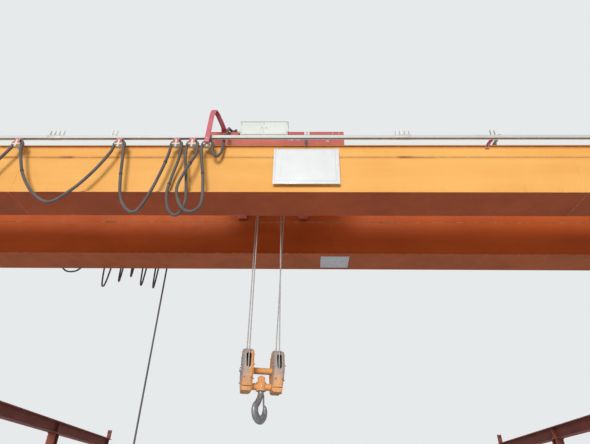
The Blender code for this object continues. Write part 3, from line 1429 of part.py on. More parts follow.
def main():
    for old in list(bpy.data.objects):
        bpy.data.objects.remove(old)
    bpy.context.scene.collection.children.link(COLLECTION)
    bpy.context.scene.collection.children.link(CUTTERS)

    red = finish("red oxide paint", (0.30, 0.07, 0.05), 0.6)
    orange = finish("orange paint", (0.80, 0.30, 0.07), 0.45)
    steel = finish("bright steel", (0.55, 0.55, 0.55), 0.35, 1.0)
    grey = finish("grey paint", (0.35, 0.37, 0.38), 0.5)
    cream = finish("cream paint", (0.75, 0.70, 0.58), 0.5)
    black = finish("cable grey", (0.35, 0.35, 0.36), 0.6)

    build_runway(red, steel)
    half_gauge = CRAB_GAUGE / 2
    for name, side in (("front", -1), ("rear", 1)):
        build_girder(f"{name}_girder", BRIDGE_Y + side * half_gauge, orange)
        build_crab_rail(f"{name}_crab_rail", BRIDGE_Y + side * half_gauge, steel)
    for side, name in ((-1, "left"), (1, "right")):
        build_end_carriage(side, name, orange, steel, grey)
    build_festoons(steel, cream, black, grey)
    build_crab(red, steel, grey, cream)
    build_block(orange, steel, black)
    build_boards(cream, grey)
    build_pendant(steel, black, grey, cream)


main()
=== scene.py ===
# The looks of the overhead travelling crane: camera, light, procedural finishes and the fine pieces.
# Metres. X runs along the bridge, Y along the runway, Z is up from the floor.

import math

import bmesh
import bpy
from mathutils import Matrix, Vector


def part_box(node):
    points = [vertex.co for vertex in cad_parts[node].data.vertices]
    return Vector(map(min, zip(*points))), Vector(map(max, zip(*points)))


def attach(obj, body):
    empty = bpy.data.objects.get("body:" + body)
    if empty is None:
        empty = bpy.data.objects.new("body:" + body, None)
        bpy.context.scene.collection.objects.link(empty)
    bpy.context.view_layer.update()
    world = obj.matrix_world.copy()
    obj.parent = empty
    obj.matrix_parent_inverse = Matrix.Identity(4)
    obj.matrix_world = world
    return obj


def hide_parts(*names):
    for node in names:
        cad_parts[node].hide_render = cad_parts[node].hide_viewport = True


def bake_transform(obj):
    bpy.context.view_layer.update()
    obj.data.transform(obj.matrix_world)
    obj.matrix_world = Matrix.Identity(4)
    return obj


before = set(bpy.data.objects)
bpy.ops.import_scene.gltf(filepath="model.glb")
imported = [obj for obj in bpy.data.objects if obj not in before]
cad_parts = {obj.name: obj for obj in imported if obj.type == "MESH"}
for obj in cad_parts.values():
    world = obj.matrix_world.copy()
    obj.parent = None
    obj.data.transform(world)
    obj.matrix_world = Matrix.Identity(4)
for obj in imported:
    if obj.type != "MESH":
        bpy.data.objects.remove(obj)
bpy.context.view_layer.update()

X, Y, Z = Vector((1, 0, 0)), Vector((0, 1, 0)), Vector((0, 0, 1))

# Places that the pieces share with the model, in metres
SEAT_GAP = 0.0003
BRIDGE_Y = -8.1
GIRDER_LOW, GIRDER_HIGH = 4.55, 5.25
GIRDER_HALF = 9.61
STRAKE_SEAM = 5.083
GAUGE = 1.44
GIRDER_WIDTH = 0.48
OVERHANG = 0.025
TRACK_LOW, TRACK_HIGH = 5.26, 5.30
TRACK_Y, PENDANT_Y = BRIDGE_Y - 1.06, BRIDGE_Y + 1.06
SADDLE_Z = 5.161
SADDLE_RADIUS = 0.045
CHEEK_OFFSET = 0.0285
BOARD_X, BOARD_Z = 0.020, 4.925
BUFFER_Z = 4.505
STATION_TOP = 1.30
TROLLEYS = (-7.00, -5.20, -3.40, -2.18, -1.50, -1.31)
TOW_X = -1.13
CRAB_X = -0.45
BLOCK_TWIST = math.radians(12)
SHEAVE_Z = 2.83
TRUNNION_Z = 2.665
SHEAVE_OFFSET = 0.165
SHEAVE_PITCH = 0.16
HOOK_TURN = math.radians(60)
DRUM_Y = 0.317
DRUM_Z = 5.86
DRUM_RADIUS = 0.15
ROPE_RADIUS = 0.007
EQUALISER_Z = 5.72
EQUALISER_RADIUS = 0.14
# Level directions along the block's axle, across it, along the hook's bowl and across it
U = Vector((math.cos(BLOCK_TWIST), math.sin(BLOCK_TWIST), 0))
V = Vector((-math.sin(BLOCK_TWIST), math.cos(BLOCK_TWIST), 0))
HOOK_ALONG = Vector((math.cos(HOOK_TURN), math.sin(HOOK_TURN), 0))
HOOK_WIDE = Vector((-math.sin(HOOK_TURN), math.cos(HOOK_TURN), 0))


# Camera, light and stage


def place_camera():
    """Eye height, looking up at the bridge, a little to the left and a little rolled."""
    pitch, yaw, roll = math.radians(32.6), math.radians(1.3), math.radians(0.85)
    distance, eye_height = 4.95, 1.6
    ahead = Vector((-math.sin(yaw) * math.cos(pitch), math.cos(yaw) * math.cos(pitch), math.sin(pitch)))
    right = Vector((math.cos(yaw), math.sin(yaw), 0))
    up = right.cross(ahead)
    right, up = (right * math.cos(roll) + up * math.sin(roll), up * math.cos(roll) - right * math.sin(roll))
    focal, picture, sensor = 443, 590, 36
    lens = bpy.data.cameras.new("camera")
    lens.sensor_width = sensor
    lens.lens = focal / picture * sensor
    lens.clip_end = 200
    camera = bpy.data.objects.new("camera", lens)
    turn = Matrix((right, up, -ahead)).transposed().to_4x4()
    camera.matrix_world = Matrix.Translation((0, BRIDGE_Y - distance, eye_height)) @ turn
    bpy.context.scene.collection.objects.link(camera)
    bpy.context.scene.camera = camera


def add_sun(name, direction, energy, softness, colour=(1, 1, 1)):
    lamp = bpy.data.lights.new(name, "SUN")
    lamp.energy = energy
    lamp.angle = math.radians(softness)
    lamp.color = colour
    sun = bpy.data.objects.new(name, lamp)
    sun.rotation_euler = Vector(direction).to_track_quat("-Z", "Y").to_euler()
    bpy.context.scene.collection.objects.link(sun)


def build_stage():
    """Two suns, a pale backdrop that lights the scene less than it shows, and a plain floor."""
    bpy.context.scene.view_settings.view_transform = "Standard"
    add_sun("front light", (0.16, 1.0, -0.22), 2.5, 24, (1.0, 0.985, 0.955))
    add_sun("back light", (-0.35, -1.0, -0.9), 1.0, 30)
    world = bpy.data.worlds.new("backdrop")
    bpy.context.scene.world = world
    world.use_nodes = True
    tree = world.node_tree
    tree.nodes.clear()
    paths = tree.nodes.new("ShaderNodeLightPath")
    seen = tree.nodes.new("ShaderNodeMath")
    seen.operation = "MAXIMUM"
    tree.links.new(paths.outputs["Is Camera Ray"], seen.inputs[0])
    tree.links.new(paths.outputs["Is Transmission Ray"], seen.inputs[1])
    light, shown, mix = (
        tree.nodes.new(kind) for kind in ("ShaderNodeBackground",) * 2 + ("ShaderNodeMixShader",)
    )
    light.inputs["Color"].default_value = (0.93, 0.96, 1.0, 1)
    light.inputs["Strength"].default_value = 0.34
    shown.inputs["Color"].default_value = (0.80, 0.82, 0.83, 1)
    shown.inputs["Strength"].default_value = 1.0
    tree.links.new(seen.outputs[0], mix.inputs[0])
    tree.links.new(light.outputs[0], mix.inputs[1])
    tree.links.new(shown.outputs[0], mix.inputs[2])
    tree.links.new(mix.outputs[0], tree.nodes.new("ShaderNodeOutputWorld").inputs["Surface"])

    shape = bmesh.new()
    bmesh.ops.create_grid(shape, x_segments=1, y_segments=1, size=60)
    bmesh.ops.translate(shape, vec=(0, 0, -0.002), verts=shape.verts)
    mesh = bpy.data.meshes.new("floor")
    shape.to_mesh(mesh)
    shape.free()
    floor = bpy.data.objects.new("floor", mesh)
    bpy.context.scene.collection.objects.link(floor)
    mesh.materials.append(plain_floor())


# Finishes


class Field:
    """A value in a finish's node tree, which takes part in plain arithmetic."""

    def __init__(self, finish, socket):
        self.finish, self.socket = finish, socket

    def math(self, operation, *others):
        return self.finish.node(
            "ShaderNodeMath", {"operation": operation}, {0: self, **dict(enumerate(others, 1))}
        )

    def __add__(self, other):
        return self.math("ADD", other)

    def __sub__(self, other):
        return self.math("SUBTRACT", other)

    def __mul__(self, other):
        return self.math("MULTIPLY", other)

    def __truediv__(self, other):
        return self.math("DIVIDE", other)

    def __pow__(self, other):
        return self.math("POWER", other)

    def __rsub__(self, other):
        return self.finish.node("ShaderNodeMath", {"operation": "SUBTRACT"}, {0: other, 1: self})

    __radd__, __rmul__ = __add__, __mul__

    def near(self, middle, half, soft):
        """1 within half of a middle value, fading to 0 over a soft edge."""
        return (self - middle).math("ABSOLUTE").ramp(half + soft, half)

    def ramp(self, low, high, to_low=0.0, to_high=1.0):
        inputs = {"Value": self, "From Min": low, "From Max": high, "To Min": to_low, "To Max": to_high}
        return self.finish.node("ShaderNodeMapRange", {"interpolation_type": "SMOOTHSTEP"}, inputs)

    def clamp(self):
        return self.finish.node("ShaderNodeClamp", {}, {"Value": self})


class Finish:
    """A material, with its Principled shader and the fields that its looks are written with."""

    def __init__(self, name):
        self.material = bpy.data.materials.new(name)
        self.material.use_nodes = True
        self.tree = self.material.node_tree
        self.tree.nodes.clear()
        self.shader = self.tree.nodes.new("ShaderNodeBsdfPrincipled")
        out = self.tree.nodes.new("ShaderNodeOutputMaterial")
        self.tree.links.new(self.shader.outputs[0], out.inputs["Surface"])
        self.place = self.node("ShaderNodeTexCoord", {}, {}, "Object")
        self.x, self.y, self.z = self.split(self.place)
        self.facing = self.split(self.node("ShaderNodeNewGeometry", {}, {}, "True Normal"))

    def node(self, kind, settings, inputs, output=0):
        made = self.tree.nodes.new(kind)
        for key, value in settings.items():
            setattr(made, key, value)
        for key, value in inputs.items():
            self.put(made.inputs[key], value)
        return Field(self, made.outputs[output])

    def put(self, socket, value):
        if isinstance(value, Field):
            self.tree.links.new(value.socket, socket)
        elif isinstance(value, (tuple, Vector)) and len(socket.default_value) == 4:
            socket.default_value = (*value, 1)
        else:
            socket.default_value = value

    def split(self, vector):
        made = self.tree.nodes.new("ShaderNodeSeparateXYZ")
        self.put(made.inputs[0], vector)
        return [Field(self, made.outputs[n]) for n in range(3)]

    def stretched(self, x, y, z):
        return self.node("ShaderNodeVectorMath", {"operation": "MULTIPLY"}, {0: self.place, 1: (x, y, z)})

    def noise(self, scale, detail=3.0, roughness=0.55, at=None):
        inputs = {"Vector": at or self.place, "Scale": scale, "Detail": detail, "Roughness": roughness}
        return self.node("ShaderNodeTexNoise", {}, inputs)

    def mix(self, share, first, second):
        settings = {"data_type": "RGBA", "clamp_factor": True}
        return self.node("ShaderNodeMix", settings, {0: share, 6: first, 7: second}, 2)

    def bump(self, height, depth, under=None):
        inputs = {"Height": height, "Distance": depth, "Strength": 1.0}
        if under is not None:
            inputs["Normal"] = under
        return self.node("ShaderNodeBump", {}, inputs)

    def edges(self, radius=0.004):
        """1 on an outer edge, from how the surface turns away within a small radius."""
        bevel = self.node("ShaderNodeBevel", {"samples": 4}, {"Radius": radius})
        normal = self.node("ShaderNodeNewGeometry", {}, {}, "Normal")
        same = self.node("ShaderNodeVectorMath", {"operation": "DOT_PRODUCT"}, {0: bevel, 1: normal}, "Value")
        return (1 - same).ramp(0.02, 0.16)

    def set(self, colour, roughness=0.5, metallic=0.0, coat=0.0, normal=None, gloss=0.3):
        inputs = self.shader.inputs
        inputs["Specular IOR Level"].default_value = gloss
        self.put(inputs["Base Color"], colour)
        self.put(inputs["Roughness"], roughness)
        self.put(inputs["Metallic"], metallic)
        self.put(inputs["Coat Weight"], coat)
        if normal is not None:
            self.put(inputs["Normal"], normal)
        return self.material


def plain_floor():
    finish = Finish("floor")
    return finish.set(finish.mix(finish.noise(0.6), (0.72, 0.73, 0.74), (0.76, 0.77, 0.78)), 0.9)


def girder_paint(name, base, deep, under, grime_and_seam_shadow):
    """Sprayed enamel on a long plate girder, with run marks, a painted shadow under the strake's seam broken
    up by dirt, and painted shade on the faces that look down.
    """
    finish = Finish(name)
    broad = finish.noise(0.9, 4.0)
    sweep = finish.noise(1.0, 3.0, 0.6, finish.stretched(0.35, 3.0, 5.0))
    colour = finish.mix((broad * 0.6 + sweep * 0.4).ramp(0.35, 0.68), base, deep)
    streaks = finish.noise(1.0, 5.0, 0.65, finish.stretched(14.0, 14.0, 0.7)).ramp(0.56, 0.74)
    # Painted shadow under the strake's lower edge: a dark band below the seam, broken up by dirt blots; the
    # grime factor scales it together with the real dirt.
    seam = finish.z.near(STRAKE_SEAM - 0.006, 0.004, 0.030)
    blots = finish.noise(1.0, 3.0, 0.6, finish.stretched(0.9, 0.9, 4.0)).ramp(0.52, 0.72)
    below_seam = (STRAKE_SEAM - finish.z).ramp(0.16, 0.0) * (STRAKE_SEAM + 0.001 - finish.z).ramp(0.0, 0.004)
    colour = finish.mix(seam * (0.30 + blots * 0.45) * grime_and_seam_shadow, colour, (0.36, 0.13, 0.03))
    colour = finish.mix(below_seam * blots * streaks * 0.5 * grime_and_seam_shadow, colour, (0.40, 0.16, 0.05))
    stains = finish.x.near(-2.84, 0.04, 0.09) + finish.x.near(1.20, 0.03, 0.10)
    stains = stains * finish.z.near(STRAKE_SEAM - 0.003, 0.006, 0.022)
    colour = finish.mix(stains * grime_and_seam_shadow * 0.75, colour, (0.24, 0.085, 0.02))
    foot = (finish.z - GIRDER_LOW).ramp(0.16, 0.0)
    colour = finish.mix(foot * streaks * 0.30 * grime_and_seam_shadow, colour, (0.42, 0.17, 0.06))
    # Painted shade: faces that look down take the darker, redder under colour, mottled a little.
    underside_shade = (0 - finish.facing[2]).ramp(0.5, 0.9)
    smudges = finish.noise(1.7, 5.0, 0.62).ramp(0.30, 0.72)
    colour = finish.mix(underside_shade, colour, finish.mix(smudges, under, tuple(0.78 * c for c in under)))
    dust = finish.facing[2].ramp(0.7, 0.95) * finish.noise(5.0, 5.0).ramp(0.25, 0.7, 0.3, 0.8)
    colour = finish.mix(dust, colour, (0.42, 0.33, 0.24))
    specks = finish.noise(38.0, 4.0, 0.7).ramp(0.66, 0.73)
    chips = finish.edges(0.006) * finish.noise(16.0, 5.0, 0.7).ramp(0.46, 0.60)
    colour = finish.mix(specks * 0.30 * grime_and_seam_shadow, colour, (0.45, 0.20, 0.10))
    colour = finish.mix(chips * 0.75, colour, (0.72, 0.62, 0.52))
    orange_peel = finish.bump(finish.noise(120.0, 2.0), 0.0004)
    waves = finish.bump(finish.noise(1.0, 2.0, 0.5, finish.stretched(0.8, 0.8, 2.4)), 0.004, orange_peel)
    rough = finish.noise(7.0, 3.0).ramp(0.3, 0.7, 0.50, 0.66)
    return finish.set(colour, rough, normal=waves)


def paint(
    name, base, deep, worn=(0.30, 0.16, 0.10), wear=0.7, rust=0.25, rough=0.48, dirt=(0.16, 0.13, 0.11),
    grain=1.0,
):
    """Brushed or sprayed paint on steel: cloudy, dusty on top, with chipped edges and rusty freckles."""
    finish = Finish(name)
    colour = finish.mix(finish.noise(2.2 * grain, 4.0).ramp(0.32, 0.68), base, deep)
    runs = finish.noise(1.0, 5.0, 0.65, finish.stretched(22.0 * grain, 22.0 * grain, 1.4)).ramp(0.52, 0.75)
    colour = finish.mix(runs * 0.30, colour, dirt)
    hollows = finish.noise(9.0 * grain, 5.0, 0.7).ramp(0.55, 0.75)
    colour = finish.mix(hollows * rust, colour, (0.22, 0.08, 0.035))
    dust = finish.facing[2].ramp(0.6, 0.95) * finish.noise(6.0, 4.0).ramp(0.3, 0.7, 0.25, 0.7)
    colour = finish.mix(dust, colour, (0.38, 0.34, 0.29))
    chips = finish.edges(0.005) * finish.noise(30.0 * grain, 5.0, 0.7).ramp(0.44, 0.58)
    colour = finish.mix(chips * wear, colour, worn)
    skin = finish.bump(finish.noise(150.0, 2.0), 0.0003)
    rough = finish.noise(12.0, 3.0).ramp(0.3, 0.7, rough - 0.07, rough + 0.12)
    return finish.set(colour, rough, normal=finish.bump(hollows, 0.0006, skin))


def block_paint(name):
    """The hook block's paint: orange below, worn through to pale grey above, with brown runs between."""
    finish = Finish(name)
    clouds = finish.noise(9.0, 5.0, 0.65)
    blots = finish.noise(26.0, 5.0, 0.7)
    runs = finish.noise(1.0, 5.0, 0.65, finish.stretched(60.0, 60.0, 6.0))
    height = finish.z + (clouds - 0.5) * 0.16 + (runs - 0.5) * 0.12
    orange = finish.mix(clouds.ramp(0.35, 0.65), (0.84, 0.42, 0.155), (0.70, 0.32, 0.115))
    bare = finish.mix(blots.ramp(0.35, 0.65), (0.37, 0.335, 0.33), (0.26, 0.23, 0.225))
    across = (finish.x - CRAB_X) * (finish.x - CRAB_X)
    outer = across.ramp(0.010, 0.016)
    colour = finish.mix(outer * height.ramp(2.70, 2.82), orange, bare)
    pale = outer * height.ramp(2.60, 2.76) * blots.ramp(0.40, 0.60)
    colour = finish.mix(pale * 0.65, colour, (0.55, 0.40, 0.33))
    colour = finish.mix(runs.ramp(0.54, 0.72) * 0.45, colour, (0.30, 0.16, 0.09))
    colour = finish.mix(blots.ramp(0.60, 0.76) * 0.5, colour, (0.20, 0.10, 0.06))
    # Painted shade: faces that look down are darkened towards brown.
    under = (0 - finish.facing[2]).ramp(0.4, 0.9)
    colour = finish.mix(under * 0.5, colour, (0.26, 0.12, 0.06))
    chips = finish.edges(0.004) * finish.noise(90.0, 4.0, 0.7).ramp(0.44, 0.58)
    colour = finish.mix(chips * 0.8, colour, (0.58, 0.55, 0.53))
    dust = finish.facing[2].ramp(0.6, 0.95) * 0.5
    colour = finish.mix(dust, colour, (0.40, 0.36, 0.31))
    skin = finish.bump(finish.noise(160.0, 2.0), 0.0003)
    return finish.set(colour, clouds.ramp(0.3, 0.7, 0.46, 0.64), normal=finish.bump(blots, 0.0008, skin))


def bare_steel(name, base, deep, metallic=0.85, rough=0.38, rust=0.35, grain=1.0, depth=0.0004):
    """Bare or galvanised steel: mottled, with rust that gathers away from the worn edges."""
    finish = Finish(name)
    mottle = finish.noise(14.0 * grain, 6.0, 0.7)
    colour = finish.mix(mottle.ramp(0.35, 0.65), base, deep)
    brown = finish.noise(4.0 * grain, 6.0, 0.68).ramp(0.50, 0.72) * rust
    colour = finish.mix(brown, colour, (0.20, 0.085, 0.04))
    bright = finish.edges(0.003)
    colour = finish.mix(bright * 0.5, colour, tuple(min(1.0, 1.5 * c) for c in base))
    shine = (1 - brown) * metallic
    fine = finish.bump(finish.noise(90.0 * grain, 4.0, 0.7), depth)
    roughness = mottle.ramp(0.3, 0.7, rough - 0.08, rough + 0.12)
    return finish.set(colour, roughness, metallic=shine.clamp(), normal=fine)


def rubbery(name, base, deep, rough=0.62):
    """A cable's sheath or a rubber moulding: dull, paler on top from dust and a painted highlight, and
    slightly uneven.
    """
    finish = Finish(name)
    colour = finish.mix(finish.noise(7.0, 4.0).ramp(0.3, 0.7), base, deep)
    # Paler towards the top: partly dust, partly a painted highlight on the upper, lit side.
    dust = finish.facing[2].ramp(0.0, 0.9) * finish.noise(12.0, 4.0).ramp(0.3, 0.7, 0.2, 0.7)
    colour = finish.mix(dust, colour, tuple(c * 0.55 + 0.17 for c in base))
    scuffs = finish.noise(60.0, 5.0, 0.75).ramp(0.60, 0.70)
    colour = finish.mix(scuffs * 0.35, colour, tuple(c * 0.5 + 0.22 for c in base))
    return finish.set(colour, rough, normal=finish.bump(finish.noise(260.0, 3.0), 0.0004))


def board_white(name):
    """White enamel with a thin grey line inside its edge, faint run marks and a dirty rim."""
    finish = Finish(name)
    across = (finish.x - BOARD_X).math("ABSOLUTE")
    high = (finish.z - BOARD_Z).math("ABSOLUTE")
    line = across.near(0.350, 0.0025, 0.0015) * (0.2385 - high).ramp(-0.002, 0.002)
    line = (line + high.near(0.235, 0.0025, 0.0015) * (0.3535 - across).ramp(-0.002, 0.002)).clamp()
    colour = finish.mix(finish.noise(4.0, 4.0).ramp(0.3, 0.7), (0.79, 0.80, 0.81), (0.73, 0.75, 0.76))
    colour = finish.mix(line * 0.55, colour, (0.42, 0.44, 0.48))
    runs = finish.noise(1.0, 5.0, 0.6, finish.stretched(30.0, 30.0, 1.6)).ramp(0.55, 0.78)
    colour = finish.mix(runs * 0.22, colour, (0.52, 0.47, 0.40))
    rim = (across.ramp(0.372, 0.395) + high.ramp(0.262, 0.280)).clamp()
    rim = rim * finish.noise(18.0, 4.0).ramp(0.45, 0.65)
    colour = finish.mix(rim * 0.35, colour, (0.50, 0.38, 0.26))
    return finish.set(colour, 0.34, coat=0.2, normal=finish.bump(finish.noise(3.0, 2.0), 0.002))


def make_finishes():
    # The far girder's colours are the near girder's enamel in painted shade, darker and redder; the third
    # colour of each girder is painted shade for its faces that look down.
    near = (0.86, 0.45, 0.118), (0.80, 0.37, 0.080)
    far = (0.52, 0.092, 0.008), (0.41, 0.066, 0.005)
    return {
        "near girder": girder_paint("near_girder_enamel", *near, (0.46, 0.085, 0.017), 1.0),
        "far girder in painted shade": girder_paint("far_girder_shaded_enamel", *far, (0.46, 0.100, 0.020), 1.0),
        "carriage": paint("carriage_enamel", (0.74, 0.30, 0.06), (0.60, 0.22, 0.045)),
        "block": block_paint("block_enamel"),
        "crab red": paint("crab_red", (0.58, 0.150, 0.115), (0.47, 0.105, 0.088), (0.45, 0.30, 0.26)),
        "arm red": paint(
            "arm_red", (0.62, 0.15, 0.185), (0.52, 0.115, 0.15), (0.70, 0.55, 0.55), 0.6, 0.15, 0.42,
            (0.40, 0.20, 0.18), 3.0,
        ),
        "oxide": paint(
            "red_oxide", (0.26, 0.065, 0.045), (0.20, 0.050, 0.038), (0.34, 0.24, 0.20), 0.5, 0.35, 0.6
        ),
        "cream": paint(
            "trolley_cream", (0.80, 0.74, 0.58), (0.70, 0.63, 0.48), (0.52, 0.42, 0.32), 0.7, 0.25, 0.45,
            (0.40, 0.32, 0.24), 5.0,
        ),
        "panel": paint(
            "panel_white", (0.73, 0.765, 0.72), (0.68, 0.715, 0.67), (0.50, 0.44, 0.38), 0.25, 0.03, 0.40,
            (0.60, 0.58, 0.54), 2.0,
        ),
        "machine": paint(
            "machine_grey", (0.22, 0.26, 0.29), (0.17, 0.20, 0.225), (0.45, 0.44, 0.42), 0.5, 0.15, 0.45,
            (0.08, 0.07, 0.06), 2.5,
        ),
        "yellow": paint(
            "station_yellow", (0.82, 0.56, 0.045), (0.74, 0.48, 0.035), (0.88, 0.70, 0.30), 0.3, 0.0, 0.42,
            (0.30, 0.22, 0.12), 6.0,
        ),
        "rolled": bare_steel("rolled_steel", (0.30, 0.285, 0.27), (0.20, 0.19, 0.18), 0.75, 0.42, 0.55),
        "bright": bare_steel("bright_steel", (0.62, 0.61, 0.60), (0.48, 0.47, 0.46), 0.95, 0.24, 0.10, 3.0),
        "forged": bare_steel(
            "forged_steel", (0.36, 0.365, 0.38), (0.22, 0.228, 0.24), 0.55, 0.38, 0.12, 3.0, 0.0012
        ),
        "zinc": bare_steel("galvanised_steel", (0.66, 0.69, 0.70), (0.56, 0.59, 0.60), 0.35, 0.45, 0.10, 1.5),
        "rope": bare_steel("rope_steel", (0.50, 0.49, 0.47), (0.36, 0.345, 0.33), 0.45, 0.5, 0.15, 6.0),
        "sheath": rubbery("cable_sheath", (0.135, 0.125, 0.120), (0.100, 0.092, 0.088)),
        "black": rubbery("black_rubber", (0.030, 0.030, 0.032), (0.022, 0.022, 0.024), 0.55),
        "tie": rubbery("cable_tie", (0.045, 0.042, 0.040), (0.035, 0.033, 0.030), 0.4),
        "white": rubbery("white_nylon", (0.78, 0.78, 0.75), (0.68, 0.68, 0.64), 0.4),
        "board": board_white("notice_enamel"),
        "plate": bare_steel(
            "direction_plate_metal", (0.62, 0.63, 0.64), (0.52, 0.53, 0.54), 0.55, 0.40, 0.05, 2.0
        ),
        "red button": paint(
            "red_button", (0.62, 0.03, 0.02), (0.52, 0.025, 0.02), (0.7, 0.3, 0.3), 0.2, 0.0, 0.3,
            (0.2, 0.05, 0.05), 8.0,
        ),
        "green button": paint(
            "green_button", (0.03, 0.30, 0.07), (0.025, 0.24, 0.06), (0.3, 0.5, 0.3), 0.2, 0.0, 0.3,
            (0.05, 0.1, 0.05), 8.0,
        ),
        "white button": paint(
            "white_button", (0.75, 0.75, 0.72), (0.66, 0.66, 0.62), (0.8, 0.8, 0.8), 0.2, 0.0, 0.3,
            (0.3, 0.28, 0.25), 8.0,
        ),
    }


place_camera()
build_stage()
FINISH = make_finishes()

# What each node of the model is finished in
LOOKS = {
    "near girder": ("front_girder",),
    "far girder in painted shade": ("rear_girder",),
    "carriage": ("end_carriage_left", "end_carriage_right"),
    "block": ("block_housing_left", "block_housing_right", "block_axle", "crosshead"),
    "crab red": ("crab_frame",),
    "arm red": ("tow_arm",),
    "cream": ("tow_trolley", *(f"festoon_trolley_{n}" for n in range(1, 7))),
    "panel": ("control_panel",),
    "board": ("notice_board",),
    "plate": ("direction_plate",),
    "machine": (
        "travel_drive_left", "travel_drive_right", "hoist_gearbox", "hoist_motor", "crab_travel_drive"
    ),
    "yellow": ("pendant_station",),
    "rolled": (
        "front_crab_rail", "rear_crab_rail", "rope_drum", "sheave_left", "sheave_right", "equaliser_sheave",
        "crab_wheelset_left", "crab_wheelset_right",
        *(f"bridge_wheel_{side}_{end}" for side in ("left", "right") for end in ("front", "rear")),
    ),
    "forged": ("hook",),
    "bright": ("latch",),
    "zinc": ("festoon_track", "pendant_track"),
    "sheath": ("festoon_cable", "pendant_festoon_cable", "pendant_cable"),
    "black": ("pendant_gland",),
    "rope": ("hoist_rope",),
}


def dress_nodes():
    chosen = {node: look for look, nodes in LOOKS.items() for node in nodes}
    for name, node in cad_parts.items():
        look = chosen.get(name, "oxide")
        node.data.materials.clear()
        node.data.materials.append(FINISH[look])


dress_nodes()


# Shapes


def join_rings(made, rings, closed=False):
    """Faces between rings of as many points, and the two caps that close an open row of rings."""
    for first, second in [*zip(rings, rings[1:]), *([(rings[-1], rings[0])] if closed else [])]:
        for k in range(len(first)):
            after = (k + 1) % len(first)
            made.faces.new((first[k], first[after], second[after], second[k]))
    caps = [] if closed else [made.faces.new(rings[0][::-1]), made.faces.new(rings[-1])]
    bmesh.ops.recalc_face_normals(made, faces=made.faces)
    return caps


def soften(made, edges, size, segments=2, profile=0.6):
    bmesh.ops.bevel(made, geom=edges, offset=size, segments=segments, profile=profile, affect="EDGES")


def aim(axis):
    """The turn that brings Z onto an axis."""
    return axis.to_track_quat("Z", "Y").to_matrix().to_4x4()


